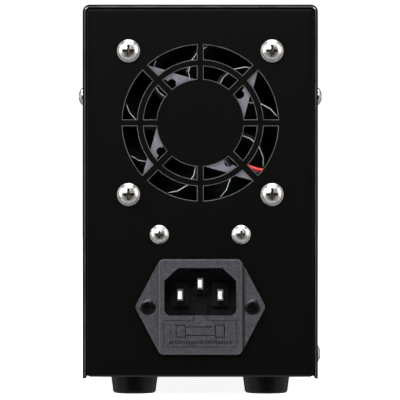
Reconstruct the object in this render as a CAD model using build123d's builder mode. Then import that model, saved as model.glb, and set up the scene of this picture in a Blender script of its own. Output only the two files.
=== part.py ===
"""Compact switch-mode bench power supply: folded steel case, rear fan and fused mains inlet, moulded front panel."""

from build123d import *
import math
import os

os.makedirs("parts", exist_ok=True)

# ------------------------------------------------------------------ driving dimensions, mm
CASE_W = 82.0        # outside width over the cover
SHEET = 1.0          # steel sheet
TOP_Z = 136.0        # outside of the cover's top
BASE_Z = 6.2         # underside of the chassis, resting on the feet
SKIRT_Z = 5.65       # lower edge of the cover's sides
CASE_LEN = 190.0     # sheet-metal length
BEZEL_D = 14.0       # moulded front
HEAD_PROUD = 2.8     # M4 heads behind the rear panel
CAP_PROUD = 20.2     # binding-post caps in front of the bezel
COVER_R = 2.5        # outside bend radius of the cover
FIT = 0.1            # gap between the chassis and the cover

TOTAL_Y = HEAD_PROUD + CASE_LEN + BEZEL_D + CAP_PROUD
Y_REAR = TOTAL_Y / 2 - HEAD_PROUD   # outer face of the rear panel
Y_JOIN = Y_REAR - CASE_LEN          # where the sheet metal meets the bezel
Y_FACE = Y_JOIN - BEZEL_D           # front face of the bezel

PANEL_W = CASE_W - 2 * SHEET - 2 * FIT
PANEL_TOP = TOP_Z - SHEET - FIT
RETURN_L = 11.0      # flanges folded forward round the rear panel
PANEL_R = 1.8        # corners of the rear panel and of the tray

FAN_Z = 94.8         # fan centre
FAN_PITCH = 50.0     # 60 mm fan
FAN_SIDE = 60.0
FAN_DEPTH = 25.0
FAN_REAR = Y_REAR - SHEET
FAN_FRONT = FAN_REAR - FAN_DEPTH
BLADES = 9

INLET_Z = 30.7       # centre of the inlet's flange
INLET_PITCH = 36.5   # its two screws
SOCKET_DZ = 5.26     # socket centre above the flange centre
DRAWER_DZ = -9.3     # fuse drawer centre below the flange centre
SOCKET_Z = INLET_Z + SOCKET_DZ
DRAWER_Z = INLET_Z + DRAWER_DZ

FOOT_X = 23.2
FOOT_Y = (Y_REAR - 13.0, Y_JOIN + 12.0)
SIDE_Z = 104.2       # upper side screws
LOW_Z = 13.6         # lower side screws

BOARD_Z = 13.2       # underside of the main board
BOARD_T = 1.6
BOARD_TOP = BOARD_Z + BOARD_T

KNOB_X, KNOB_Z = 19.0, 73.0
BUTTON_X, BUTTON_Z = 19.0, 50.0
ROCKER_X, ROCKER_Z = -19.0, 50.0
POST_Z = 24.0
POST_PITCH = 19.0
STACK_Y = Y_FACE + 11.0   # front face of the display board

TO_REAR = (-90, 0, 0)     # turns +Z to +Y
TO_FRONT = (90, 0, 0)     # turns +Z to -Y
TO_LEFT = (0, -90, 0)     # turns +Z to -X
TO_RIGHT = (0, 90, 0)     # turns +Z to +X
TO_BOTTOM = (180, 0, 0)   # turns +Z to -Z


def across(y):
    """Sketch plane square to the length: local x is X, local y is Z, normal towards the front."""
    return Plane(origin=(0, y, 0), x_dir=(1, 0, 0), z_dir=(0, -1, 0))


def pan_head(head_r, head_h, shank_r, length, arm, drive):
    """Cross-recessed pan-head screw: underside of the head at z = 0, shank downwards."""
    rise = 0.66 * head_h
    dome_r = (head_r ** 2 + rise ** 2) / (2 * rise)
    with BuildPart() as head:
        Cylinder(head_r, head_h, align=(Align.CENTER, Align.CENTER, Align.MIN))
        with Locations((0, 0, head_h - dome_r)):
            Sphere(dome_r, mode=Mode.INTERSECT)
    with BuildPart() as screw:
        with BuildSketch(Plane.XZ):
            with BuildLine():
                Polyline(
                    (0, 0), (0, -length), (shank_r - 0.3, -length), (shank_r, -length + 0.5), (shank_r, 0), (0, 0),
                )
            make_face()
        revolve(axis=Axis.Z)
        add(head.part)
        for long_x, long_y in ((arm, 0.15 * arm + 0.14), (0.15 * arm + 0.14, arm)):
            with BuildSketch(Plane.XY.offset(head_h)):
                Rectangle(2 * long_x, 2 * long_y)
            with BuildSketch(Plane.XY.offset(head_h - drive)):
                Rectangle(2 * long_x * 0.62, 2 * long_y * 0.7)
            loft(mode=Mode.SUBTRACT)
    return screw.part


def hex_nut(flats, thickness, bore_r):
    """Hexagon nut standing on z = 0."""
    with BuildPart() as nut:
        with BuildSketch():
            RegularPolygon(flats / 2, 6, major_radius=False)
            Circle(bore_r, mode=Mode.SUBTRACT)
        extrude(amount=thickness)
    return nut.part


def lead(points, radius, bends):
    """Insulated lead of round section along straight runs joined by tangent arcs."""
    with BuildPart() as wire:
        with BuildLine() as route:
            FilletPolyline(*points, radius=bends)
        with BuildSketch(Plane(origin=route.line @ 0, z_dir=route.line % 0)):
            Circle(radius)
        sweep()
    return wire.part


# ------------------------------------------------------------------ cover: one sheet folded to an inverted U
with BuildPart() as cover:
    with BuildSketch(across(Y_REAR)) as cover_outer:
        with Locations((0, (TOP_Z + SKIRT_Z) / 2)):
            Rectangle(CASE_W, TOP_Z - SKIRT_Z)
        fillet(cover_outer.vertices().group_by(Axis.Y)[-1], COVER_R)
    extrude(amount=CASE_LEN)
    with BuildSketch(across(Y_REAR)) as cover_inner:
        with Locations((0, (TOP_Z - SHEET + SKIRT_Z - 5) / 2)):
            Rectangle(CASE_W - 2 * SHEET, TOP_Z - SHEET - SKIRT_Z + 5)
        fillet(cover_inner.vertices().group_by(Axis.Y)[-1], COVER_R - SHEET)
    extrude(amount=CASE_LEN, mode=Mode.SUBTRACT)
    # cooling slots through both sides
    with BuildSketch(Plane.YZ.offset(CASE_W / 2 + 1)):
        with Locations((-30.0, 65.0)):
            with GridLocations(6.0, 30.0, 12, 2):
                SlotOverall(24.0, 2.8, rotation=90)
    extrude(amount=-CASE_W - 2, mode=Mode.SUBTRACT)
    # screw holes through both sides
    with BuildSketch(Plane.YZ.offset(CASE_W / 2 + 1)):
        with Locations((Y_REAR - 6, SIDE_Z), (Y_JOIN + 6, SIDE_Z), (Y_JOIN + 22, LOW_Z)):
            Circle(1.65)
    extrude(amount=-CASE_W - 2, mode=Mode.SUBTRACT)
    with BuildSketch(Plane.YZ.offset(CASE_W / 2 + 1)):
        with Locations((Y_REAR - 62, LOW_Z)):
            Circle(1.65)
    extrude(amount=-SHEET - 2, mode=Mode.SUBTRACT)
    with BuildSketch(Plane.YZ.offset(-CASE_W / 2 - 1)):
        with Locations((Y_REAR - 16, LOW_Z)):
            Circle(1.65)
    extrude(amount=SHEET + 2, mode=Mode.SUBTRACT)
cover.part.label = "cover"
export_step(cover.part, "parts/cover.step")

# ------------------------------------------------------------------ chassis: bottom and rear panel folded from one sheet
with BuildPart() as chassis:
    with BuildSketch(across(Y_REAR)):
        with Locations((0, (PANEL_TOP + BASE_Z) / 2)):
            RectangleRounded(PANEL_W, PANEL_TOP - BASE_Z, PANEL_R)
    extrude(amount=RETURN_L)
    fillet(chassis.faces().sort_by(Axis.Y)[-1].edges(), 1.15)
    with BuildSketch(across(Y_REAR - SHEET)):
        with Locations((0, (PANEL_TOP + BASE_Z) / 2)):
            RectangleRounded(PANEL_W - 2 * SHEET, PANEL_TOP - BASE_Z - 2 * SHEET, PANEL_R - SHEET)
    extrude(amount=RETURN_L, mode=Mode.SUBTRACT)
    # bottom tray with low side flanges
    with BuildSketch(across(Y_REAR - RETURN_L)) as tray:
        with Locations((0, BASE_Z + 6)):
            Rectangle(PANEL_W, 12)
        fillet(tray.vertices().group_by(Axis.Y)[0], PANEL_R)
        with Locations((0, BASE_Z + SHEET + 10)):
            RectangleRounded(PANEL_W - 2 * SHEET, 20, PANEL_R - SHEET, mode=Mode.SUBTRACT)
    extrude(amount=CASE_LEN - RETURN_L)
    with BuildSketch(Plane.YZ.offset(CASE_W / 2)):
        with Locations((Y_REAR - RETURN_L - 0.6, BASE_Z + 9)):
            Rectangle(1.6, 12)
    extrude(amount=-CASE_W, mode=Mode.SUBTRACT)
    # front flange that takes the bezel's lower screws
    with BuildSketch(across(Y_JOIN + SHEET)):
        with Locations((0, BASE_Z + 8)):
            Rectangle(70, 14)
    extrude(amount=SHEET)
    with BuildSketch(across(Y_JOIN + SHEET + 1)):
        with Locations((-28, LOW_Z), (28, LOW_Z)):
            Circle(1.65)
    extrude(amount=SHEET + 2, mode=Mode.SUBTRACT)
    # fan grille: two rings of eight slots
    with BuildSketch(across(Y_REAR + 0.5)) as grille:
        with Locations((0, FAN_Z)):
            Circle(27.2)
            Circle(22.1, mode=Mode.SUBTRACT)
            Circle(19.8)
            Circle(15.3, mode=Mode.SUBTRACT)
            Rectangle(60, 2.3, mode=Mode.SUBTRACT)
            Rectangle(2.3, 60, mode=Mode.SUBTRACT)
            Rectangle(60, 2.6, rotation=45, mode=Mode.SUBTRACT)
            Rectangle(60, 2.6, rotation=-45, mode=Mode.SUBTRACT)
    extrude(amount=SHEET + 1, mode=Mode.SUBTRACT)
    rear_face = chassis.faces().filter_by(Axis.Y).sort_by(Axis.Y)[-1]
    chamfer([e for w in rear_face.inner_wires() for e in w.edges()], 0.2)
    # screw holes and the inlet's cut-out in the rear panel
    with BuildSketch(across(Y_REAR + 0.5)):
        with Locations((0, FAN_Z)):
            with GridLocations(FAN_PITCH, FAN_PITCH, 2, 2):
                Circle(2.2)
        with Locations((-14.25, 55.85), (14.25, 55.85)):
            Circle(1.65)
        with Locations((-INLET_PITCH / 2, INLET_Z), (INLET_PITCH / 2, INLET_Z)):
            Circle(1.65)
        with Locations((0, INLET_Z)):
            RectangleRounded(27.6, 31.6, 1.0)
    extrude(amount=SHEET + 1, mode=Mode.SUBTRACT)
    # side screw holes
    with BuildSketch(Plane.YZ.offset(CASE_W / 2)):
        with Locations((Y_REAR - 6, SIDE_Z), (Y_JOIN + 22, LOW_Z)):
            Circle(1.52)
    extrude(amount=-CASE_W, mode=Mode.SUBTRACT)
    with BuildSketch(Plane.YZ.offset(CASE_W / 2)):
        with Locations((Y_REAR - 62, LOW_Z)):
            Circle(1.52)
    extrude(amount=-10, mode=Mode.SUBTRACT)
    with BuildSketch(Plane.YZ.offset(-CASE_W / 2)):
        with Locations((Y_REAR - 16, LOW_Z)):
            Circle(1.52)
    extrude(amount=10, mode=Mode.SUBTRACT)
    # bottom: feet, board pillars, slots
    with BuildSketch(Plane.XY.offset(BASE_Z - 1)):
        with Locations(*[(sx * FOOT_X, y) for sx in (-1, 1) for y in FOOT_Y]):
            Circle(1.52)
        with Locations((0, 6)):
            with GridLocations(64, 116, 2, 2):
                Circle(2.03)
        with Locations((0, -8), (0, 30)):
            with GridLocations(7.0, 0, 6, 1):
                SlotOverall(24.0, 2.8, rotation=90)
    extrude(amount=SHEET + 2, mode=Mode.SUBTRACT)
chassis.part.label = "chassis"
export_step(chassis.part, "parts/chassis.step")

# ------------------------------------------------------------------ fasteners of the case
m3_pan = pan_head(2.95, 1.6, 1.5, 5.0, 1.55, 1.0)
with BuildPart() as cover_screws:
    for side, turn in ((-1, TO_LEFT), (1, TO_RIGHT)):
        for y, z in ((Y_REAR - 6, SIDE_Z), (Y_JOIN + 6, SIDE_Z), (Y_JOIN + 22, LOW_Z)):
            with Locations(Location((side * CASE_W / 2, y, z), turn)):
                add(m3_pan)
    with Locations(Location((CASE_W / 2, Y_REAR - 62, LOW_Z), TO_RIGHT)):
        add(m3_pan)
    with Locations(Location((-CASE_W / 2, Y_REAR - 16, LOW_Z), TO_LEFT)):
        add(m3_pan)
cover_screws.part.label = "cover_screws"
export_step(cover_screws.part, "parts/cover_screws.step")

with BuildPart() as foot:
    with BuildSketch(Plane.XZ):
        with BuildLine():
            Polyline((1.6, 3.3), (3.7, 3.3), (3.7, 0.0), (6.4, 0.0))
            ThreePointArc((6.4, 0.0), (7.2202, 0.3398), (7.56, 1.16))
            Polyline((7.56, 1.16), (8.2, 5.9), (7.9, BASE_Z), (1.6, BASE_Z), (1.6, 3.3))
        make_face()
    revolve(axis=Axis.Z)
with BuildPart() as feet:
    with Locations(*[(sx * FOOT_X, y, 0) for sx in (-1, 1) for y in FOOT_Y]):
        add(foot.part)
feet.part.label = "rubber_feet"
export_step(feet.part, "parts/rubber_feet.step")

m3_foot = pan_head(3.0, 1.9, 1.5, 6.2, 1.55, 1.1)
with BuildPart() as foot_screws:
    with Locations(*[Location((sx * FOOT_X, y, 3.3), TO_BOTTOM) for sx in (-1, 1) for y in FOOT_Y]):
        add(m3_foot)
foot_screws.part.label = "foot_screws"
export_step(foot_screws.part, "parts/foot_screws.step")

# ------------------------------------------------------------------ fan
STRUT = [
    (13.4, -1.0), (15.2, 1.6), (17.3, 9.2), (18.5, 12.4), (20.0, 17.9), (21.6, 20.9),
    (20.9, 21.6), (18.6, 19.8), (16.7, 16.0), (15.2, 12.5), (13.1, 8.3), (9.5, 5.0),
]
STRUT_RELIEF = (13.9, 9.9)
with BuildPart() as fan_frame:
    with BuildSketch(across(FAN_REAR)):
        with Locations((0, FAN_Z)):
            RectangleRounded(FAN_SIDE, FAN_SIDE, 4.0)
    extrude(amount=FAN_DEPTH)
    # waist between the two square flanges
    with BuildSketch(across(FAN_REAR - 4)):
        with Locations((0, FAN_Z)):
            Rectangle(FAN_SIDE + 2, FAN_SIDE + 2)
            Circle(30.0, mode=Mode.SUBTRACT)
    extrude(amount=FAN_DEPTH - 8, mode=Mode.SUBTRACT)
    with BuildSketch(across(FAN_REAR + 1)):
        with Locations((0, FAN_Z)):
            Circle(28.4)
            with GridLocations(FAN_PITCH, FAN_PITCH, 2, 2):
                Circle(2.15)
    extrude(amount=FAN_DEPTH + 2, mode=Mode.SUBTRACT)
    # notch that lets the two leads out through the rear flange
    with BuildSketch(across(FAN_REAR + 1)):
        with Locations((-28.0, FAN_Z - 17.4)):
            Rectangle(14.0, 3.3)
    extrude(amount=3.6, mode=Mode.SUBTRACT)
    # four slanted struts that carry the motor plate
    with BuildSketch(across(FAN_REAR - 0.4)):
        with Locations((0, FAN_Z)):
            Circle(15.0)
        for turn in range(4):
            a = math.radians(90 * turn)
            points = [
                (-(x * math.cos(a) - z * math.sin(a)), x * math.sin(a) + z * math.cos(a) + FAN_Z)
                for x, z in STRUT
            ]
            with BuildLine():
                Polyline(*points, close=True)
            make_face()
        # rounded relief beside the root of each strut
        for turn in range(4):
            a = math.radians(90 * turn)
            x, z = STRUT_RELIEF
            with Locations((-(x * math.cos(a) - z * math.sin(a)), x * math.sin(a) + z * math.cos(a) + FAN_Z)):
                Circle(1.45, mode=Mode.SUBTRACT)
    extrude(amount=1.8)
    with BuildSketch(across(FAN_REAR - 2.0)):
        with Locations((0, FAN_Z)):
            Circle(3.1)
    extrude(amount=14.0)
    with BuildSketch(across(FAN_REAR - 1.6)):
        with Locations((0, FAN_Z)):
            Circle(1.56)
    extrude(amount=16.0, mode=Mode.SUBTRACT)
fan_frame.part.label = "fan_frame"
export_step(fan_frame.part, "parts/fan_frame.step")

with BuildPart() as fan_stator:
    with BuildSketch(across(FAN_REAR - 3.4)):
        with Locations((0, FAN_Z)):
            Circle(11.6)
            Circle(3.15, mode=Mode.SUBTRACT)
    extrude(amount=1.2)
    with BuildSketch(across(FAN_REAR - 4.6)):
        with Locations((0, FAN_Z)):
            Circle(6.0)
            Rectangle(22.4, 5.0)
            Rectangle(5.0, 22.4)
            Circle(3.15, mode=Mode.SUBTRACT)
    extrude(amount=9.0)
fan_stator.part.label = "fan_stator"
export_step(fan_stator.part, "parts/fan_stator.step")

# each section of a blade: distance from the axis, place of its rear edge across the radius,
# width across the radius, thickness
BLADE = [(12.9, 5.1, 7.4, 1.5), (17.4, 6.2, 10.4, 1.3), (21.4, 5.6, 12.8, 1.15), (24.9, 3.2, 14.6, 1.0), (28.9, -2.5, 16.2, 0.9)]
BLADE_REAR = FAN_REAR - 3.9
BLADE_RUN = 16.8
with BuildPart() as fan_rotor:
    for number in range(BLADES):
        a = math.radians(360 / BLADES * number + 85)
        out = Vector(-math.cos(a), 0, math.sin(a))
        over = Vector(math.sin(a), 0, math.cos(a))
        for distance, start, width, thick in BLADE:
            # chord from the rear edge to the front edge, with a little camber
            slope = math.hypot(width, BLADE_RUN)
            along = (-BLADE_RUN / slope, -width / slope)
            normal = (-along[1], along[0])
            outline = []
            for share, bulge, half in (
                (0.0, 0.0, 0.5), (0.5, 1.1, 0.5), (1.0, 0.0, 0.5), (1.0, 0.0, -0.5), (0.5, 1.1, -0.5), (0.0, 0.0, -0.5),
            ):
                side = bulge + half * thick
                outline.append((
                    share * slope * along[0] + side * normal[0],
                    start + share * slope * along[1] + side * normal[1],
                ))
            section = Plane(
                origin=Vector(0, BLADE_REAR, FAN_Z) + out * distance, x_dir=(0, 1, 0), z_dir=Vector(0, 1, 0).cross(over),
            )
            with BuildSketch(section):
                with BuildLine():
                    Polyline(*outline, close=True)
                make_face()
        loft(ruled=True)
    with BuildSketch(across(FAN_REAR - 3.2)):
        with Locations((0, FAN_Z)):
            Circle(27.7)
    extrude(amount=FAN_DEPTH - 5.2, mode=Mode.INTERSECT)
    with BuildSketch(across(FAN_REAR - 3.2)):
        with Locations((0, FAN_Z)):
            Circle(15.0)
    extrude(amount=FAN_DEPTH - 6.2)
    with BuildSketch(across(FAN_REAR - 3.0)):
        with Locations((0, FAN_Z)):
            Circle(13.2)
    extrude(amount=FAN_DEPTH - 8.2, mode=Mode.SUBTRACT)
    with BuildSketch(across(FAN_REAR - 2.4)):
        with Locations((0, FAN_Z)):
            Circle(1.5)
    extrude(amount=FAN_DEPTH - 7.0)
fan_rotor.part.label = "fan_rotor"
export_step(fan_rotor.part, "parts/fan_rotor.step")

m4_pan = pan_head(4.0, HEAD_PROUD, 2.0, 9.2, 2.3, 1.7)
with BuildPart() as fan_screws:
    for sx in (-1, 1):
        for sz in (-1, 1):
            with Locations(Location((sx * FAN_PITCH / 2, Y_REAR, FAN_Z + sz * FAN_PITCH / 2), TO_REAR)):
                add(m4_pan)
fan_screws.part.label = "fan_screws"
export_step(fan_screws.part, "parts/fan_screws.step")

m4_nut = hex_nut(7.0, 3.2, 2.02)
m3_nut = hex_nut(5.5, 2.4, 1.52)
with BuildPart() as rear_nuts:
    for sx in (-1, 1):
        for sz in (-1, 1):
            with Locations(Location((sx * FAN_PITCH / 2, FAN_REAR - 4, FAN_Z + sz * FAN_PITCH / 2), TO_FRONT)):
                add(m4_nut)
        with Locations(Location((sx * INLET_PITCH / 2, Y_REAR - SHEET, INLET_Z), TO_FRONT)):
            add(m3_nut)
rear_nuts.part.label = "rear_nuts"
export_step(rear_nuts.part, "parts/rear_nuts.step")

# ------------------------------------------------------------------ fused mains inlet
INLET_OUT = 2.5      # raised centre in front of the panel
EAR_OUT = 1.7        # flange ears
with BuildPart() as inlet:
    with BuildSketch(across(Y_REAR + EAR_OUT)) as ears:
        with BuildLine():
            Polyline(
                (-22.77, INLET_Z), (-14.0, INLET_Z + 16.65), (14.0, INLET_Z + 16.65),
                (22.77, INLET_Z), (14.0, INLET_Z - 16.65), (-14.0, INLET_Z - 16.65), close=True,
            )
        make_face()
        fillet(ears.vertices(), 2.2)
    extrude(amount=EAR_OUT)
    with BuildSketch(across(Y_REAR + INLET_OUT)):
        with Locations((0, INLET_Z)):
            RectangleRounded(28.8, 33.0, 1.6)
    extrude(amount=INLET_OUT - 0.4)
    fillet(inlet.faces().sort_by(Axis.Y)[-1].edges(), 0.35)
    with BuildSketch(across(Y_REAR)):
        with Locations((0, INLET_Z)):
            RectangleRounded(27.0, 31.0, 0.8)
    extrude(amount=27.0)
    # socket for the mains connector, upper corners cut off
    with BuildSketch(across(Y_REAR + INLET_OUT)) as socket:
        with BuildLine():
            Polyline(
                (-12.5, SOCKET_Z - 8.3), (-12.5, SOCKET_Z + 3.9), (-7.7, SOCKET_Z + 8.3),
                (7.7, SOCKET_Z + 8.3), (12.5, SOCKET_Z + 3.9), (12.5, SOCKET_Z - 8.3), close=True,
            )
        make_face()
        fillet(socket.vertices().group_by(Axis.Y)[0], 2.2)
        fillet(socket.vertices().group_by(Axis.Y)[1:], 0.9)
    extrude(amount=16.0, mode=Mode.SUBTRACT)
    # low collars round the two line pins and a rib at the back of the socket
    with BuildSketch(across(Y_REAR + INLET_OUT - 16.0)):
        with Locations((-7, SOCKET_Z - 1.2), (7, SOCKET_Z - 1.2)):
            RectangleRounded(5.8, 8.6, 0.6)
        with Locations((0, SOCKET_Z + 2.8)):
            RectangleRounded(5.4, 7.6, 0.6)
        with Locations((0, SOCKET_Z - 6.3)):
            Rectangle(4.9, 4.0)
    extrude(amount=-2.2)
    # recess for the drawer's face, and the notch its tongue sits in
    with BuildSketch(across(Y_REAR + INLET_OUT)):
        with Locations((0, DRAWER_Z)):
            RectangleRounded(25.6, 9.4, 0.4)
        with Locations((0, DRAWER_Z + 5.4)):
            Rectangle(4.9, 3.0)
    extrude(amount=1.9, mode=Mode.SUBTRACT)
    with BuildSketch(across(Y_REAR + INLET_OUT)):
        with Locations((0, DRAWER_Z)):
            Rectangle(22.9, 7.6)
    extrude(amount=INLET_OUT + 24.0, mode=Mode.SUBTRACT)
    # ways through the back for the three pins and the two fuse contacts
    with BuildSketch(across(Y_REAR)):
        with Locations((-7, SOCKET_Z - 1.2), (7, SOCKET_Z - 1.2), (0, SOCKET_Z + 2.8)):
            Rectangle(2.04, 4.04)
    extrude(amount=30.0, mode=Mode.SUBTRACT)
    with BuildSketch(across(Y_REAR - 20)):
        with Locations((-11.2, DRAWER_Z), (11.2, DRAWER_Z)):
            Rectangle(0.46, 5.04)
    extrude(amount=10.0, mode=Mode.SUBTRACT)
    # countersunk screw holes in the ears
    for sx in (-1, 1):
        with Locations(Location((sx * INLET_PITCH / 2, Y_REAR + EAR_OUT, INLET_Z), TO_REAR)):
            CounterSinkHole(1.62, 3.02, depth=EAR_OUT + 1, counter_sink_angle=90)
inlet.part.label = "inlet_housing"
export_step(inlet.part, "parts/inlet_housing.step")

with BuildPart() as pin:
    with BuildSketch(across(0)):
        Rectangle(2.0, 4.0)
    extrude(amount=27.6)
    tip = pin.faces().sort_by(Axis.Y)[-1].edges()
    chamfer(tip.filter_by(Axis.X), 0.65)
    tip = pin.faces().sort_by(Axis.Y)[-1].edges()
    chamfer(tip.filter_by(Axis.Z), 0.24)
    with BuildSketch(across(-27.6)):
        Rectangle(0.8, 4.8)
    extrude(amount=8.0)
with BuildPart() as inlet_terminals:
    with Locations(
        (-7, Y_REAR + 0.6, SOCKET_Z - 1.2), (7, Y_REAR + 0.6, SOCKET_Z - 1.2), (0, Y_REAR + 0.6, SOCKET_Z + 2.8)
    ):
        add(pin.part)
    with BuildSketch(across(Y_REAR - 10.5)):
        with Locations((-11.2, DRAWER_Z), (11.2, DRAWER_Z)):
            Rectangle(0.4, 5.0)
    extrude(amount=24.5)
inlet_terminals.part.label = "inlet_terminals"
export_step(inlet_terminals.part, "parts/inlet_terminals.step")

DRAWER_FACE = Y_REAR + INLET_OUT - 0.1
with BuildPart() as fuse_drawer:
    with BuildSketch(across(DRAWER_FACE)):
        with Locations((0, DRAWER_Z)):
            RectangleRounded(25.3, 9.1, 0.4)
        with Locations((0, DRAWER_Z + 5.2)):
            Rectangle(4.5, 2.4)
    extrude(amount=1.7)
    with BuildSketch(across(DRAWER_FACE - 1.6)):
        with Locations((0, DRAWER_Z)):
            Rectangle(21.6, 7.2)
    extrude(amount=22.6)
    # beds for the working fuse at the back and the spare in front of it
    for y in (Y_REAR - 5.0, Y_REAR - 16.6):
        with BuildSketch(Plane(origin=(0, y, DRAWER_Z), x_dir=(0, 1, 0), z_dir=(1, 0, 0))) as bed:
            Circle(2.66)
            with Locations((0, 3.0)):
                Rectangle(5.32, 6.0)
        extrude(amount=20.3 / 2 if y > Y_REAR - 10 else 15, both=True, mode=Mode.SUBTRACT)
    # fuse symbol cut into the face
    with BuildSketch(across(DRAWER_FACE)):
        with Locations((-6.8, DRAWER_Z + 0.9), (6.8, DRAWER_Z + 0.9)):
            Rectangle(3.5, 4.5)
            Rectangle(2.9, 3.9, mode=Mode.SUBTRACT)
        with Locations((0, DRAWER_Z + 0.9 + 1.45), (0, DRAWER_Z + 0.9 - 1.45)):
            Rectangle(10.1, 0.3)
    extrude(amount=0.3, mode=Mode.SUBTRACT)
    # row of grip ribs under it
    with BuildSketch(across(DRAWER_FACE)):
        with Locations((0, DRAWER_Z - 3.0)):
            with GridLocations(0.95, 0, 23, 1):
                Rectangle(0.42, 1.15)
    extrude(amount=0.28, mode=Mode.SUBTRACT)
fuse_drawer.part.label = "fuse_drawer"
export_step(fuse_drawer.part, "parts/fuse_drawer.step")

with BuildPart() as fuse_glass:
    for y in (Y_REAR - 5.0, Y_REAR - 16.6):
        with BuildSketch(Plane.YZ):
            with Locations((y, DRAWER_Z)):
                Circle(2.3)
                Circle(1.7, mode=Mode.SUBTRACT)
        extrude(amount=8.8, both=True)
fuse_glass.part.label = "fuse_glass"
export_step(fuse_glass.part, "parts/fuse_glass.step")

with BuildPart() as fuse_caps:
    for y in (Y_REAR - 5.0, Y_REAR - 16.6):
        for sx in (-1, 1):
            with BuildSketch(Plane.YZ.offset(sx * 10.0)):
                with Locations((y, DRAWER_Z)):
                    Circle(2.6)
            extrude(amount=-sx * 5.0)
            with BuildSketch(Plane.YZ.offset(sx * 8.8)):
                with Locations((y, DRAWER_Z)):
                    Circle(2.3)
            extrude(amount=-sx * 5.0, mode=Mode.SUBTRACT)
        with BuildSketch(Plane.YZ):
            with Locations((y, DRAWER_Z)):
                Circle(0.12)
        extrude(amount=8.85, both=True)
fuse_caps.part.label = "fuse_caps"
export_step(fuse_caps.part, "parts/fuse_caps.step")

with BuildPart() as csk:
    with BuildSketch(Plane.XZ):
        with BuildLine():
            Polyline(
                (0, 0.4), (0, -7.2), (1.2, -7.2), (1.5, -6.8), (1.5, -1.5), (2.9, -0.1),
                (2.5, 0.2), (1.8, 0.4), (0, 0.4),
            )
        make_face()
    revolve(axis=Axis.Z)
    for long_x, long_y in ((1.6, 0.38), (0.38, 1.6)):
        with BuildSketch(Plane.XY.offset(0.4)):
            Rectangle(2 * long_x, 2 * long_y)
        with BuildSketch(Plane.XY.offset(-0.65)):
            Rectangle(1.2 * long_x, 1.4 * long_y)
        loft(mode=Mode.SUBTRACT)
with BuildPart() as inlet_screws:
    with Locations(
        Location((-INLET_PITCH / 2, Y_REAR + EAR_OUT, INLET_Z), TO_REAR),
        Location((INLET_PITCH / 2, Y_REAR + EAR_OUT, INLET_Z), TO_REAR),
    ):
        add(csk.part)
inlet_screws.part.label = "inlet_screws"
export_step(inlet_screws.part, "parts/inlet_screws.step")

# ------------------------------------------------------------------ rectifier bracket behind the two small rear screws
with BuildPart() as rectifier_bracket:
    with BuildSketch(across(Y_REAR - SHEET)):
        with Locations((0, 56.6)):
            Rectangle(40, 14.6)
    extrude(amount=2.5)
    with BuildSketch(across(Y_REAR - SHEET)):
        with Locations((0, 50.5)):
            Rectangle(40, 2.4)
    extrude(amount=30)
    with BuildSketch(across(Y_REAR)):
        with Locations((-14.25, 55.85), (14.25, 55.85)):
            Circle(1.52)
    extrude(amount=5, mode=Mode.SUBTRACT)
    with BuildSketch(Plane.XY.offset(48)):
        with Locations((0, Y_REAR - 18.5)):
            Circle(1.52)
    extrude(amount=5, mode=Mode.SUBTRACT)
rectifier_bracket.part.label = "rectifier_bracket"
export_step(rectifier_bracket.part, "parts/rectifier_bracket.step")

m3_wide = pan_head(3.3, 2.1, 1.5, 5.6, 1.5, 1.2)
with BuildPart() as bracket_screws:
    with Locations(
        Location((-14.25, Y_REAR, 55.85), TO_REAR), Location((14.25, Y_REAR, 55.85), TO_REAR),
    ):
        add(m3_wide)
bracket_screws.part.label = "bracket_screws"
export_step(bracket_screws.part, "parts/bracket_screws.step")

# ------------------------------------------------------------------ main board and what stands on it
with BuildPart() as board_standoffs:
    with Locations((0, 6, BASE_Z + SHEET)):
        with GridLocations(64, 116, 2, 2):
            Cylinder(3.0, BOARD_Z - BASE_Z - SHEET, align=(Align.CENTER, Align.CENTER, Align.MIN))
    with Locations((0, 6, BASE_Z)):
        with GridLocations(64, 116, 2, 2):
            Cylinder(2.0, SHEET, align=(Align.CENTER, Align.CENTER, Align.MIN))
    with Locations((0, 6, BASE_Z + 1.6)):
        with GridLocations(64, 116, 2, 2):
            Cylinder(1.52, 8, align=(Align.CENTER, Align.CENTER, Align.MIN), mode=Mode.SUBTRACT)
board_standoffs.part.label = "board_standoffs"
export_step(board_standoffs.part, "parts/board_standoffs.step")

with BuildPart() as main_board:
    with BuildSketch(Plane.XY.offset(BOARD_Z)):
        with Locations((0, 6)):
            RectangleRounded(71, 128, 1.5)
            with GridLocations(64, 116, 2, 2):
                Circle(1.7, mode=Mode.SUBTRACT)
    extrude(amount=BOARD_T)
main_board.part.label = "main_board"
export_step(main_board.part, "parts/main_board.step")

m3_board = pan_head(2.75, 1.9, 1.5, 6.0, 1.4, 1.1)
m3_bezel = pan_head(2.75, 1.9, 1.5, 7.0, 1.4, 1.1)
BOSSES = ((-34.0, 87.5), (34.0, 87.5), (34.0, 43.5), (2.0, 43.5))
with BuildPart() as inner_screws:
    for x in (-32, 32):
        for y in (-52, 64):
            with Locations((x, y, BOARD_TOP)):
                add(m3_board)
    with Locations(
        *[Location((x, STACK_Y + 1.6, z), TO_REAR) for x, z in BOSSES],
        *[Location((x, Y_JOIN + SHEET, LOW_Z), TO_REAR) for x in (-28, 28)],
    ):
        add(m3_bezel)
    with Locations((0, Y_REAR - 18.5, 55.4)):
        add(pan_head(2.75, 1.9, 1.5, 6.4, 1.4, 1.1))
inner_screws.part.label = "inner_screws"
export_step(inner_screws.part, "parts/inner_screws.step")

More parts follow.
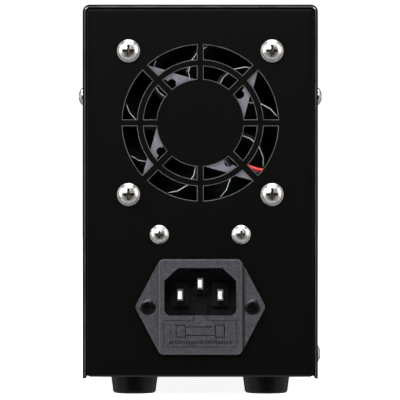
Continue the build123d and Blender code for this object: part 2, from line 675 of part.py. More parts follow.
with BuildPart() as can_big:
    Cylinder(11.0, 32.0, align=(Align.CENTER, Align.CENTER, Align.MIN))
    fillet(can_big.edges().group_by(Axis.Z)[-1], 1.2)
    with BuildSketch(Plane.XY.offset(32.0)):
        Circle(9.3)
        Circle(8.9, mode=Mode.SUBTRACT)
        Rectangle(14, 0.5)
        Rectangle(0.5, 14)
    extrude(amount=-0.35, mode=Mode.SUBTRACT)
with BuildPart() as can_small:
    Cylinder(5.0, 20.0, align=(Align.CENTER, Align.CENTER, Align.MIN))
    fillet(can_small.edges().group_by(Axis.Z)[-1], 0.7)
with BuildPart() as capacitors:
    with Locations((-24.5, 30.5, BOARD_TOP), (-23.3, 53.3, BOARD_TOP)):
        add(can_big.part)
    with Locations((-28, -8, BOARD_TOP), (-28, -20, BOARD_TOP), (-28, -32, BOARD_TOP)):
        add(can_small.part)
    with Locations((4, 54, BOARD_TOP)):
        Box(18, 9, 15, align=(Align.CENTER, Align.CENTER, Align.MIN))
    with Locations((1.5, 66, BOARD_TOP)):
        Box(14, 6, 11, align=(Align.CENTER, Align.CENTER, Align.MIN))
capacitors.part.label = "capacitors"
export_step(capacitors.part, "parts/capacitors.step")

with BuildPart() as transformer_core:
    with BuildSketch(Plane.XZ.offset(-24)):
        with Locations((6, BOARD_TOP + 3 + 16)):
            Rectangle(40, 32)
            with Locations((-11.5, 0), (11.5, 0)):
                Rectangle(8, 20, mode=Mode.SUBTRACT)
    extrude(amount=12)
transformer_core.part.label = "transformer_core"
export_step(transformer_core.part, "parts/transformer_core.step")

with BuildPart() as transformer_winding:
    with BuildSketch(Plane.XY.offset(BOARD_TOP)):
        with Locations((6, 18)):
            RectangleRounded(30.6, 27.6, 4.0)
    extrude(amount=2.9)
    with BuildSketch(Plane.XY.offset(BOARD_TOP + 9.2)):
        with Locations((6, 18)):
            RectangleRounded(30.6, 27.6, 5.0)
            Rectangle(15.2, 12.2, mode=Mode.SUBTRACT)
    extrude(amount=19.6)
transformer_winding.part.label = "transformer_winding"
export_step(transformer_winding.part, "parts/transformer_winding.step")

with BuildPart() as heatsinks:
    for x, y, side in ((33.0, 10.0, -1), (2.0, -26.0, 1)):
        with BuildSketch(Plane.XY.offset(BOARD_TOP)):
            if side < 0:
                with Locations((x, y)):
                    Rectangle(2.5, 84)
                for k in range(9):
                    with Locations((x - 4.0, y - 40 + 10 * k)):
                        Rectangle(6.0, 1.6)
            else:
                with Locations((x, y)):
                    Rectangle(40, 2.5)
                for k in range(7):
                    with Locations((x - 18 + 6 * k, y - 4.0)):
                        Rectangle(1.6, 6.0)
        extrude(amount=42)
heatsinks.part.label = "heatsinks"
export_step(heatsinks.part, "parts/heatsinks.step")

with BuildPart() as power_semiconductors:
    for x in (-9.0, 9.0):
        with Locations((x + 2, -24.75 + 2.5, BOARD_TOP + 18)):
            Box(15.6, 5.0, 20.0)
        for dx in (-5.4, 0.0, 5.4):
            with Locations((x + 2 + dx, -22.25, BOARD_TOP)):
                Box(1.4, 0.8, 8.2, align=(Align.CENTER, Align.CENTER, Align.MIN))
    with Locations((0, Y_REAR - 18.5, 51.7)):
        with BuildSketch(Plane.XY.offset(51.7)):
            with Locations((0, Y_REAR - 18.5)):
                Rectangle(24, 15)
                Circle(1.7, mode=Mode.SUBTRACT)
        extrude(amount=3.7)
power_semiconductors.part.label = "power_semiconductors"
export_step(power_semiconductors.part, "parts/power_semiconductors.step")

with BuildPart() as inductors:
    with BuildSketch(Plane.XZ.offset(52)):
        with Locations((12, BOARD_TOP + 14)):
            Circle(14)
            Circle(6.5, mode=Mode.SUBTRACT)
    extrude(amount=-11)
    with BuildSketch(Plane.XY.offset(BOARD_TOP)):
        with Locations((-13, -47)):
            Circle(9.0)
            Circle(3.5, mode=Mode.SUBTRACT)
    extrude(amount=22)
    fillet(inductors.edges().filter_by(GeomType.CIRCLE), 1.4)
inductors.part.label = "inductors"
export_step(inductors.part, "parts/inductors.step")

# ------------------------------------------------------------------ moulded front panel
ENCODERS = ((-KNOB_X, KNOB_Z), (KNOB_X, KNOB_Z))
POSTS = ((-POST_PITCH, POST_Z), (0.0, POST_Z), (POST_PITCH, POST_Z))
LAMPS = ((31.5, 122.0), (31.5, 103.0), (31.5, 112.5))
with BuildPart() as front_bezel:
    with BuildSketch(across(Y_JOIN)):
        with Locations((0, (TOP_Z + SKIRT_Z) / 2)):
            RectangleRounded(CASE_W, TOP_Z - SKIRT_Z, COVER_R)
    extrude(amount=BEZEL_D)
    fillet(front_bezel.faces().sort_by(Axis.Y)[0].edges(), 2.2)
    # rebate and rim that the cover slides over
    with BuildSketch(across(Y_JOIN)):
        with Locations((0, (TOP_Z + SKIRT_Z) / 2)):
            RectangleRounded(CASE_W - 5.0, TOP_Z - SKIRT_Z - 5.0, 2.0)
    extrude(amount=BEZEL_D - 2.5, mode=Mode.SUBTRACT)
    # side tabs that take the upper front screws
    for sx in (-1, 1):
        with BuildSketch(across(Y_JOIN + 11)):
            with Locations((sx * 38.2, SIDE_Z)):
                Rectangle(3.2, 12)
        extrude(amount=23)
        with BuildSketch(Plane.YZ.offset(sx * 41)):
            with Locations((Y_JOIN + 6, SIDE_Z)):
                Circle(1.52)
        extrude(amount=-sx * 6, mode=Mode.SUBTRACT)
    # bosses
    with BuildSketch(across(Y_JOIN - 0.05)):
        with Locations((-28, LOW_Z), (28, LOW_Z)):
            Circle(3.4)
    extrude(amount=BEZEL_D - 2)
    with BuildSketch(across(STACK_Y)):
        with Locations(*BOSSES):
            Circle(3.0)
    extrude(amount=STACK_Y - Y_FACE - 2)
    with BuildSketch(across(Y_JOIN)):
        with Locations((-28, LOW_Z), (28, LOW_Z)):
            Circle(1.52)
    extrude(amount=8.0, mode=Mode.SUBTRACT)
    with BuildSketch(across(STACK_Y)):
        with Locations(*BOSSES):
            Circle(1.52)
    extrude(amount=7.4, mode=Mode.SUBTRACT)
    # display opening with a seat for the window
    with BuildSketch(across(Y_FACE - 1)):
        with Locations((0, 111)):
            RectangleRounded(70, 42, 2.0)
    extrude(amount=-2.5, mode=Mode.SUBTRACT)
    with BuildSketch(across(Y_FACE - 1)):
        with Locations((0, 111)):
            RectangleRounded(66, 38, 1.5)
    extrude(amount=-5.0, mode=Mode.SUBTRACT)
    # shallow field round the binding posts
    with BuildSketch(across(Y_FACE - 1)):
        with Locations((0, POST_Z + 1)):
            RectangleRounded(62, 23, 3.0)
    extrude(amount=-1.5, mode=Mode.SUBTRACT)
    # holes
    with BuildSketch(across(Y_FACE - 1)):
        with Locations(*ENCODERS):
            Circle(3.6)
        with Locations((BUTTON_X, BUTTON_Z)):
            Circle(5.2)
        with Locations((ROCKER_X, ROCKER_Z)):
            Rectangle(13.4, 19.4)
        with Locations(*POSTS):
            Circle(3.1)
    extrude(amount=-6.0, mode=Mode.SUBTRACT)
front_bezel.part.label = "front_bezel"
export_step(front_bezel.part, "parts/front_bezel.step")

with BuildPart() as display_window:
    with BuildSketch(across(Y_FACE)):
        with Locations((0, 111)):
            RectangleRounded(69.8, 41.8, 1.9)
    extrude(amount=-1.5)
display_window.part.label = "display_window"
export_step(display_window.part, "parts/display_window.step")

with BuildPart() as digit_displays:
    for z in (120.6, 101.4):
        with BuildSketch(across(STACK_Y)):
            with Locations((-4, z)):
                Rectangle(50.3, 18.6)
        extrude(amount=8.0)
digit_displays.part.label = "digit_displays"
export_step(digit_displays.part, "parts/digit_displays.step")

with BuildPart() as display_board:
    with BuildSketch(across(STACK_Y + 1.6)) as board:
        with Locations((0, 86.0)):
            Rectangle(72, 93)
        with Locations((-20, 49.5)):
            Rectangle(34, 26, mode=Mode.SUBTRACT)
        with Locations(*BOSSES):
            Circle(1.7, mode=Mode.SUBTRACT)
    extrude(amount=1.6)
display_board.part.label = "display_board"
export_step(display_board.part, "parts/display_board.step")

with BuildPart() as indicator_leds:
    for x, z in LAMPS:
        with BuildSketch(across(STACK_Y)):
            with Locations((x, z)):
                Circle(1.9)
        extrude(amount=1.0)
        with BuildSketch(across(STACK_Y)):
            with Locations((x, z)):
                Circle(1.5)
        extrude(amount=7.6)
    fillet(indicator_leds.faces().group_by(Axis.Y)[0].edges(), 1.3)
indicator_leds.part.label = "indicator_leds"
export_step(indicator_leds.part, "parts/indicator_leds.step")

# rotary encoders: body, bushing, push plunger, shaft, knob
PLUNGER_TRAVEL = 0.5
with BuildPart() as encoder_bodies:
    for x, z in ENCODERS:
        with BuildSketch(across(STACK_Y)):
            with Locations((x, z)):
                Rectangle(12, 13)
        extrude(amount=7.6)
        with BuildSketch(across(STACK_Y)):
            with Locations((x, z)):
                Circle(3.45)
        extrude(amount=STACK_Y - Y_FACE + 3.4)
        with BuildSketch(across(STACK_Y - 1.0)):
            with Locations((x, z)):
                Circle(2.7)
        extrude(amount=5.0, mode=Mode.SUBTRACT)
        with BuildSketch(across(STACK_Y - 1.0)):
            with Locations((x, z)):
                Circle(2.04)
        extrude(amount=20.0, mode=Mode.SUBTRACT)
encoder_bodies.part.label = "encoder_bodies"
export_step(encoder_bodies.part, "parts/encoder_bodies.step")

for side, name in ((1, "voltage"), (-1, "current")):
    x = side * KNOB_X
    with BuildPart() as plunger:
        with BuildSketch(across(STACK_Y - 1.0 - PLUNGER_TRAVEL - 0.2)):
            with Locations((x, KNOB_Z)):
                Circle(2.6)
        extrude(amount=1.4)
    plunger.part.label = name + "_plunger"
    export_step(plunger.part, "parts/" + name + "_plunger.step")
    with BuildPart() as shaft:
        with BuildSketch(across(STACK_Y - 3.1)):
            with Locations((x, KNOB_Z)):
                Circle(2.0)
        extrude(amount=STACK_Y - 3.1 - Y_FACE + 4.2)
        with BuildSketch(across(Y_FACE - 4.2)) as flat:
            with Locations((x, KNOB_Z)):
                Circle(2.0)
                with Locations((0, 2.0)):
                    Rectangle(5, 1.4, mode=Mode.SUBTRACT)
        extrude(amount=9.6)
    shaft.part.label = name + "_shaft"
    export_step(shaft.part, "parts/" + name + "_shaft.step")
    with BuildPart() as knob:
        with BuildSketch(Plane.YZ):
            with BuildLine():
                Polyline(
                    (Y_FACE - 1.0, 0), (Y_FACE - 1.0, 9.6), (Y_FACE - 1.6, 10.0), (Y_FACE - 3.2, 10.0),
                    (Y_FACE - 3.8, 9.3), (Y_FACE - 14.4, 8.9),
                )
                ThreePointArc((Y_FACE - 14.4, 8.9), (Y_FACE - 15.3, 8.5), (Y_FACE - 15.7, 7.7))
                Polyline((Y_FACE - 15.7, 7.7), (Y_FACE - 15.2, 6.9), (Y_FACE - 15.2, 0), (Y_FACE - 1.0, 0))
            make_face()
        revolve(axis=Axis.Y)
        with BuildSketch(across(Y_FACE - 1.0)):
            Circle(7.2)
        extrude(amount=3.4, mode=Mode.SUBTRACT)
        with BuildSketch(across(Y_FACE - 1.0)):
            Circle(2.02)
        extrude(amount=12.9, mode=Mode.SUBTRACT)
        with BuildSketch(across(Y_FACE - 5.0)):
            with Locations((0, 1.73)):
                Rectangle(3.6, 0.7)
        extrude(amount=8.9)
        # finger flutes and the pointer groove
        with BuildSketch(across(Y_FACE - 4.4)):
            with PolarLocations(9.75, 24, start_angle=7.5):
                Circle(0.72)
        extrude(amount=12, mode=Mode.SUBTRACT)
        with BuildSketch(across(Y_FACE - 14.9)):
            with Locations((0, 5.6)):
                SlotOverall(5.0, 1.0, rotation=90)
        extrude(amount=2, mode=Mode.SUBTRACT)
    placed = Location((x, 0, KNOB_Z)) * knob.part
    placed.label = name + "_knob"
    export_step(placed, "parts/" + name + "_knob.step")

# output button on its own tact switch
with BuildPart() as output_switch:
    with BuildSketch(across(STACK_Y)):
        with Locations((BUTTON_X, BUTTON_Z)):
            Rectangle(12, 12)
    extrude(amount=4.2)
    with BuildSketch(across(STACK_Y - 2.2)):
        with Locations((BUTTON_X, BUTTON_Z)):
            Circle(3.65)
    extrude(amount=3.0, mode=Mode.SUBTRACT)
output_switch.part.label = "output_switch"
export_step(output_switch.part, "parts/output_switch.step")

with BuildPart() as output_button:
    with BuildSketch(across(STACK_Y - 3.4)):
        with Locations((BUTTON_X, BUTTON_Z)):
            Circle(3.6)
    extrude(amount=4.4)
    with BuildSketch(across(STACK_Y - 7.0)):
        with Locations((BUTTON_X, BUTTON_Z)):
            Circle(6.4)
    extrude(amount=1.2)
    with BuildSketch(across(STACK_Y - 6.0)):
        with Locations((BUTTON_X, BUTTON_Z)):
            Circle(4.9)
    extrude(amount=STACK_Y - 6.0 - Y_FACE + 2.2)
    fillet(output_button.faces().sort_by(Axis.Y)[0].edges(), 0.8)
output_button.part.label = "output_button"
export_step(output_button.part, "parts/output_button.step")

# power rocker in its snap-in housing
with BuildPart() as rocker_housing:
    with BuildSketch(across(Y_FACE - 1.6)) as rim:
        with Locations((ROCKER_X, ROCKER_Z)):
            RectangleRounded(15.4, 21.4, 1.2)
    extrude(amount=-1.6)
    fillet(rocker_housing.faces().sort_by(Axis.Y)[0].edges(), 0.7)
    with BuildSketch(across(Y_FACE)):
        with Locations((ROCKER_X, ROCKER_Z)):
            RectangleRounded(13.2, 19.2, 0.6)
    extrude(amount=-15.0)
    with BuildSketch(across(Y_FACE - 2)):
        with Locations((ROCKER_X, ROCKER_Z)):
            Rectangle(10.9, 17.4)
    extrude(amount=-15.0, mode=Mode.SUBTRACT)
    with BuildSketch(Plane.YZ.offset(ROCKER_X)):
        with Locations((Y_FACE + 1.6, ROCKER_Z)):
            Circle(1.06)
    extrude(amount=6.3, both=True, mode=Mode.SUBTRACT)
    with BuildSketch(across(Y_FACE + 15.0)):
        with Locations((ROCKER_X, ROCKER_Z - 6.5), (ROCKER_X, ROCKER_Z + 6.5)):
            Rectangle(4.8, 0.8)
    extrude(amount=-7.0)
rocker_housing.part.label = "rocker_housing"
export_step(rocker_housing.part, "parts/rocker_housing.step")

TILT = 9.0
ROCK_Y = Y_FACE + 1.6
with BuildPart() as power_rocker:
    with BuildSketch(Plane.YZ.offset(-5.3)) as profile:
        with BuildLine():
            Polyline((-3.7, 7.9), (5.5, 6.2), (8.0, 0), (5.5, -6.2), (-3.7, -7.9))
            ThreePointArc((-3.7, -7.9), (-2.2, 0), (-3.7, 7.9))
        make_face()
        fillet(profile.vertices().group_by(Axis.X)[0], 0.6)
    extrude(amount=10.6)
    with BuildSketch(Plane.YZ):
        Circle(1.0)
    extrude(amount=6.2, both=True)
rocker_placed = Location((ROCKER_X, ROCK_Y, ROCKER_Z), (TILT, 0, 0)) * power_rocker.part
rocker_placed.label = "power_rocker"
export_step(rocker_placed, "parts/power_rocker.step")

# ------------------------------------------------------------------ binding posts
with BuildPart() as post_bases:
    for x, z in POSTS:
        with BuildSketch(across(Y_FACE + 0.5)):
            with Locations((x, z)):
                Circle(7.0)
        extrude(amount=4.5)
    fillet(post_bases.faces().group_by(Axis.Y)[0].edges(), 0.6)
    with BuildSketch(across(Y_FACE + 3)):
        with Locations(*POSTS):
            Circle(3.05)
    extrude(amount=10, mode=Mode.SUBTRACT)
post_bases.part.label = "post_bases"
export_step(post_bases.part, "parts/post_bases.step")

with BuildPart() as post_studs:
    with BuildSketch(across(Y_FACE + 10.0)):
        with Locations(*POSTS):
            Circle(3.0)
    extrude(amount=27.6)
    with BuildSketch(across(Y_FACE - 4.0)):
        with Locations(*POSTS):
            Circle(5.0)
    extrude(amount=1.2)
    with BuildSketch(across(Y_FACE - 17.6)):
        with Locations(*POSTS):
            Circle(2.05)
    extrude(amount=-18.0, mode=Mode.SUBTRACT)
    for x, z in POSTS:
        with BuildSketch(Plane.XY.offset(z)):
            with Locations((x, Y_FACE - 6.6)):
                Circle(1.0)
        extrude(amount=4, both=True, mode=Mode.SUBTRACT)
post_studs.part.label = "post_studs"
export_step(post_studs.part, "parts/post_studs.step")

with BuildPart() as cap_shell:
    with BuildSketch(Plane.YZ):
        with BuildLine():
            Polyline(
                (-5.4, 4.62), (-5.4, 6.3), (-6.0, 6.7), (-7.6, 6.7), (-8.2, 6.3), (-18.6, 6.0),
            )
            ThreePointArc((-18.6, 6.0), (-19.75, 5.5), (-20.2, 4.4))
            Polyline((-20.2, 4.4), (-20.2, 2.9), (-19.7, 2.4), (-18.0, 2.4), (-18.0, 4.62), (-5.4, 4.62))
        make_face()
    revolve(axis=Axis.Y)
    with BuildSketch(across(-8.6)):
        with PolarLocations(6.65, 16):
            Circle(0.75)
    extrude(amount=9.2, mode=Mode.SUBTRACT)
with BuildPart() as cap_insert:
    with BuildSketch(across(-5.5)):
        Circle(4.6)
        Circle(3.05, mode=Mode.SUBTRACT)
    extrude(amount=12.4)
for (x, z), colour in zip(POSTS, ("black", "green", "red")):
    shell = Location((x, Y_FACE, z)) * cap_shell.part
    shell.label = colour + "_post_cap"
    export_step(shell, "parts/" + colour + "_post_cap.step")
    insert = Location((x, Y_FACE, z)) * cap_insert.part
    insert.label = colour + "_post_insert"
    export_step(insert, "parts/" + colour + "_post_insert.step")

with BuildPart() as front_nuts:
    for x, z in ENCODERS:
        with Locations(Location((x, Y_FACE, z), TO_FRONT)):
            add(hex_nut(10.0, 2.0, 3.5))
    for x, z in POSTS:
        with Locations(Location((x, Y_FACE + 2.5, z), TO_REAR), Location((x, Y_FACE + 5.8, z), TO_REAR)):
            add(hex_nut(9.0, 2.5, 3.05))
        with BuildSketch(across(Y_FACE + 5.8)):
            with Locations((x, z)):
                Circle(5.0)
                with Locations((0, 4.0)):
                    Rectangle(4.0, 4.4)
                Circle(3.05, mode=Mode.SUBTRACT)
        extrude(amount=0.8)
        with Locations((x, Y_FACE + 8.9, z + 5.8)):
            Box(4.0, 6.2, 0.8)
front_nuts.part.label = "front_nuts"
export_step(front_nuts.part, "parts/front_nuts.step")

# ------------------------------------------------------------------ earth stud and internal wiring
STUD_X, STUD_Y = 27.0, 90.0
with BuildPart() as earth_stud:
    with Locations((STUD_X, STUD_Y, BASE_Z + SHEET)):
        Cylinder(2.0, 11.0, align=(Align.CENTER, Align.CENTER, Align.MIN))
    with BuildSketch(Plane.XY.offset(BASE_Z + SHEET)):
        with Locations((STUD_X, STUD_Y)):
            Circle(4.2)
        with Locations((STUD_X, STUD_Y - 5.2)):
            Rectangle(3.6, 4.4)
    extrude(amount=0.8)
    with Locations(Location((STUD_X, STUD_Y - 7.4, BASE_Z + SHEET + 1.5), TO_FRONT)):
        Cylinder(1.5, 4.0)
    with Locations((STUD_X, STUD_Y, BASE_Z + SHEET + 0.8)):
        add(hex_nut(7.0, 3.2, 1.9))
earth_stud.part.label = "earth_stud"
export_step(earth_stud.part, "parts/earth_stud.step")


def bends(points, largest=30.0):
    """Radius at each corner: as large as the two runs that meet there allow."""
    radii = []
    for a, b, c in zip(points, points[1:], points[2:]):
        first, second = Vector(*b) - Vector(*a), Vector(*c) - Vector(*b)
        turn = math.radians(first.get_angle(second))
        radii.append(min(largest, 0.45 * min(first.length, second.length) / math.tan(turn / 2)))
    return radii


def report_wire(name, wire, radius, points, radii):
    """Print the volume against section times length, and the bend radii."""
    with BuildLine() as route:
        FilletPolyline(*points, radius=radii)
    expected = math.pi * radius * radius * sum(edge.length for edge in route.edges())
    print(name, "volume", round(wire.volume, 1), "expected", round(expected, 1),
          "radii", [round(r, 1) for r in radii])


PIN_END = Y_REAR - 35.0
WIRES = {
    "live_wires": [
        (1.1, [
            (11.2, PIN_END, DRAWER_Z), (11.2, 71.4, DRAWER_Z), (17.5, 65.0, 31.0), (23.5, 50.0, 49.0),
            (24.5, 20.0, 60.0), (20.0, -14.0, 62.5), (2.0, -42.0, 61.5), (-14.0, -56.0, 57.5),
            (-19.0, -63.0, ROCKER_Z + 6.5), (-19.0, Y_FACE + 22.0, ROCKER_Z + 6.5),
        ]),
        (1.1, [
            (-19.0, Y_FACE + 22.0, ROCKER_Z - 6.5), (-19.0, -65.0, ROCKER_Z - 6.5), (-23.5, -56.0, 38.0),
            (-28.0, -44.0, 28.0), (-28.0, -44.0, BOARD_TOP),
        ]),
    ],
    "neutral_wire": [
        (1.1, [
            (-7.0, PIN_END, SOCKET_Z - 1.2), (-7.0, 69.4, SOCKET_Z - 1.2), (-8.6, 61.6, 27.0),
            (-8.6, 61.6, BOARD_TOP),
        ]),
    ],
    "earth_wires": [
        (1.1, [
            (0.0, PIN_END, SOCKET_Z + 2.8), (0.0, 71.0, SOCKET_Z + 2.8), (9.0, 68.6, 40.5),
            (20.0, 71.5, 33.0), (26.0, 72.6, 19.0), (27.0, 75.0, BASE_Z + SHEET + 1.5),
            (STUD_X, STUD_Y - 9.4, BASE_Z + SHEET + 1.5),
        ]),
        (1.1, [
            (0.0, Y_FACE + 12.0, POST_Z + 5.8), (0.0, -75.0, POST_Z + 5.8), (0.0, -68.4, 20.0),
            (0.0, -68.4, BASE_Z + SHEET),
        ]),
    ],
    "fan_leads": [
        (0.62, [
            (-11.4, FAN_REAR - 1.2, FAN_Z - 11.4), (-14.6, FAN_REAR - 1.2, FAN_Z - 14.0),
            (-19.4, FAN_REAR - 1.2, FAN_Z - 16.2), (-26.0, FAN_REAR - 1.25, FAN_Z - 16.96),
            (-33.0, FAN_REAR - 1.8, FAN_Z - 17.1), (-34.6, 101.5, 73.0), (-34.6, 97.0, 48.0), (-30.5, 86.0, 30.0),
            (-22.0, 68.0, 26.0), (-22.0, 68.0, BOARD_TOP),
        ]),
        (0.45, [
            (-10.6, FAN_REAR - 1.2, FAN_Z - 12.3), (-14.2, FAN_REAR - 1.2, FAN_Z - 15.2),
            (-19.4, FAN_REAR - 1.2, FAN_Z - 17.42), (-26.0, FAN_REAR - 1.25, FAN_Z - 18.18),
            (-31.6, FAN_REAR - 1.8, FAN_Z - 18.45), (-33.0, 101.0, 71.5), (-33.0, 96.0, 47.0), (-29.0, 85.0, 28.6),
            (-19.4, 68.0, 24.4), (-19.4, 68.0, BOARD_TOP),
        ]),
    ],
    "output_leads": [
        (1.4, [
            (20.0, -56.3, BOARD_TOP), (20.0, -56.3, 23.6), (19.0, -68.0, POST_Z + 5.8),
            (19.0, Y_FACE + 12.0, POST_Z + 5.8),
        ]),
        (1.4, [
            (-20.0, -56.3, BOARD_TOP), (-20.0, -56.3, 23.6), (-19.0, -68.0, POST_Z + 5.8),
            (-19.0, Y_FACE + 12.0, POST_Z + 5.8),
        ]),
    ],
}
for name, runs in WIRES.items():
    with BuildPart() as bundle:
        for radius, points in runs:
            one = lead(points, radius, bends(points))
            report_wire(name, one, radius, points, bends(points))
            add(one)
    bundle.part.label = name
    export_step(bundle.part, "parts/" + name + ".step")

RIBBON = [(7.0, STACK_Y + 1.6, 75.0), (7.0, -69.0, 75.0), (7.0, -59.0, 61.0), (7.0, -56.4, 38.0), (7.0, -56.4, BOARD_TOP)]
with BuildPart() as display_ribbon:
    with BuildLine() as ribbon_route:
        FilletPolyline(*RIBBON, radius=bends(RIBBON))
    with BuildSketch(Plane(origin=ribbon_route.line @ 0, x_dir=(1, 0, 0), z_dir=ribbon_route.line % 0)):
        Rectangle(15.0, 0.8)
    sweep()
display_ribbon.part.label = "display_ribbon"
export_step(display_ribbon.part, "parts/display_ribbon.step")
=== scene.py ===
"""Bench power supply seen from the rear: materials, added detail, studio and camera."""

import math

import bmesh
import bpy
from mathutils import Matrix, Vector


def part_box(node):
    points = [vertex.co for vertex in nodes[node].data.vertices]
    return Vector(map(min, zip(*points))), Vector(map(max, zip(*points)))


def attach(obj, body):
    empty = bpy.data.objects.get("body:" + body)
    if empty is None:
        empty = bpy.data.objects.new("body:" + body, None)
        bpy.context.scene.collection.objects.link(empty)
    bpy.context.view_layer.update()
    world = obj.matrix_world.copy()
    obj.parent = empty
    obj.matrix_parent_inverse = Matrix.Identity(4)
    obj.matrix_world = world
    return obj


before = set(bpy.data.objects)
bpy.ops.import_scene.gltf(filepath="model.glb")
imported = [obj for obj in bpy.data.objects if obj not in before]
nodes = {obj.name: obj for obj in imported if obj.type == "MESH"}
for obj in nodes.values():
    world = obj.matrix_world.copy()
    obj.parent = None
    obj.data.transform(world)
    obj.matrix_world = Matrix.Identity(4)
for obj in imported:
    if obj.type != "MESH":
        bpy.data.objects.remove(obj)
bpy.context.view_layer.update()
scene = bpy.context.scene

REAR_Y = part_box("chassis")[1][1]
FAN_LOW, FAN_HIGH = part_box("fan_frame")
FAN_CENTRE_Z = (FAN_LOW[2] + FAN_HIGH[2]) / 2
FAN_BACK_Y = FAN_HIGH[1]


# ------------------------------------------------------------------ material helpers
def new_material(name):
    m = bpy.data.materials.new(name)
    m.use_nodes = True
    tree = m.node_tree
    for n in list(tree.nodes):
        tree.nodes.remove(n)
    out = tree.nodes.new("ShaderNodeOutputMaterial")
    bsdf = tree.nodes.new("ShaderNodeBsdfPrincipled")
    tree.links.new(bsdf.outputs[0], out.inputs[0])
    return m, tree, bsdf


def coords(tree, scale=(1, 1, 1)):
    tc = tree.nodes.new("ShaderNodeTexCoord")
    mp = tree.nodes.new("ShaderNodeMapping")
    mp.inputs["Scale"].default_value = scale
    tree.links.new(tc.outputs["Object"], mp.inputs["Vector"])
    return mp.outputs["Vector"]


def noise(tree, vector, scale, detail=3.0, rough=0.55):
    n = tree.nodes.new("ShaderNodeTexNoise")
    n.inputs["Scale"].default_value = scale
    n.inputs["Detail"].default_value = detail
    n.inputs["Roughness"].default_value = rough
    tree.links.new(vector, n.inputs["Vector"])
    return n.outputs["Fac"]


def ramp(tree, value, stops):
    """stops: [(position, (r, g, b)), ...]"""
    r = tree.nodes.new("ShaderNodeValToRGB")
    els = r.color_ramp.elements
    while len(els) < len(stops):
        els.new(0.5)
    for el, (pos, col) in zip(els, stops):
        el.position = pos
        el.color = (*col, 1.0)
    tree.links.new(value, r.inputs["Fac"])
    return r.outputs["Color"]


def span(tree, value, low, high, from_low=0.0, from_high=1.0):
    m = tree.nodes.new("ShaderNodeMapRange")
    m.inputs["From Min"].default_value = from_low
    m.inputs["From Max"].default_value = from_high
    m.inputs["To Min"].default_value = low
    m.inputs["To Max"].default_value = high
    tree.links.new(value, m.inputs["Value"])
    return m.outputs["Result"]


def math_node(tree, op, a, b=None, clamp=False):
    m = tree.nodes.new("ShaderNodeMath")
    m.operation = op
    m.use_clamp = clamp
    for i, v in enumerate((a, b)):
        if v is None:
            continue
        if isinstance(v, (int, float)):
            m.inputs[i].default_value = v
        else:
            tree.links.new(v, m.inputs[i])
    return m.outputs[0]


def mix_colour(tree, factor, a, b):
    m = tree.nodes.new("ShaderNodeMix")
    m.data_type = "RGBA"
    for socket, v in ((m.inputs[6], a), (m.inputs[7], b)):
        if isinstance(v, (tuple, list)):
            socket.default_value = (*v, 1.0)
        else:
            tree.links.new(v, socket)
    if isinstance(factor, (int, float)):
        m.inputs[0].default_value = factor
    else:
        tree.links.new(factor, m.inputs[0])
    return m.outputs[2]


def bump(tree, bsdf, height, strength, distance):
    b = tree.nodes.new("ShaderNodeBump")
    b.inputs["Strength"].default_value = strength
    b.inputs["Distance"].default_value = distance
    tree.links.new(height, b.inputs["Height"])
    tree.links.new(b.outputs["Normal"], bsdf.inputs["Normal"])
    return b


def shade(c, k):
    return tuple(max(0.0, min(1.0, v * k)) for v in c)


def finish_of(name, base, rough, metallic=0.0, tone=0.18, tone_scale=90.0, rough_spread=0.06, grain=1500.0,
              grain_strength=0.15, grain_depth=0.00004, specular=0.5, coat=0.0, coat_rough=0.1, tint=None,
              stretch=(1, 1, 1)):
    """General surface: slow colour drift, fine grain in the height, uneven gloss."""
    m, t, b = new_material(name)
    v = coords(t, stretch)
    slow = noise(t, v, tone_scale, 4.0)
    fine = noise(t, v, grain, 2.0)
    other = tint or shade(base, 1 + tone)
    t.links.new(ramp(t, slow, [(0.3, shade(base, 1 - tone)), (0.7, other)]), b.inputs["Base Color"])
    t.links.new(span(t, slow, rough - rough_spread, rough + rough_spread, 0.3, 0.7), b.inputs["Roughness"])
    b.inputs["Metallic"].default_value = metallic
    b.inputs["Specular IOR Level"].default_value = specular
    if coat:
        b.inputs["Coat Weight"].default_value = coat
        b.inputs["Coat Roughness"].default_value = coat_rough
    if grain_strength:
        bump(t, b, fine, grain_strength, grain_depth)
    return m


def object_normal(t):
    """The surface's own direction in the object's frame, split into x, y, z."""
    tc = t.nodes.new("ShaderNodeTexCoord")
    sep = t.nodes.new("ShaderNodeSeparateXYZ")
    t.links.new(tc.outputs["Normal"], sep.inputs[0])
    return sep.outputs


def object_place(t):
    tc = t.nodes.new("ShaderNodeTexCoord")
    sep = t.nodes.new("ShaderNodeSeparateXYZ")
    t.links.new(tc.outputs["Object"], sep.inputs[0])
    return sep.outputs


def window_of(t, value, low, high, soft):
    """1 between low and high, 0 outside, with soft edges."""
    a = span(t, value, 0.0, 1.0, low - soft, low)
    b = span(t, value, 1.0, 0.0, high, high + soft)
    return math_node(t, "MULTIPLY", a, b, clamp=True)


COVER_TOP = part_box("cover")[1][2]
COVER_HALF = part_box("cover")[1][0]
COVER_BEND = 0.0025


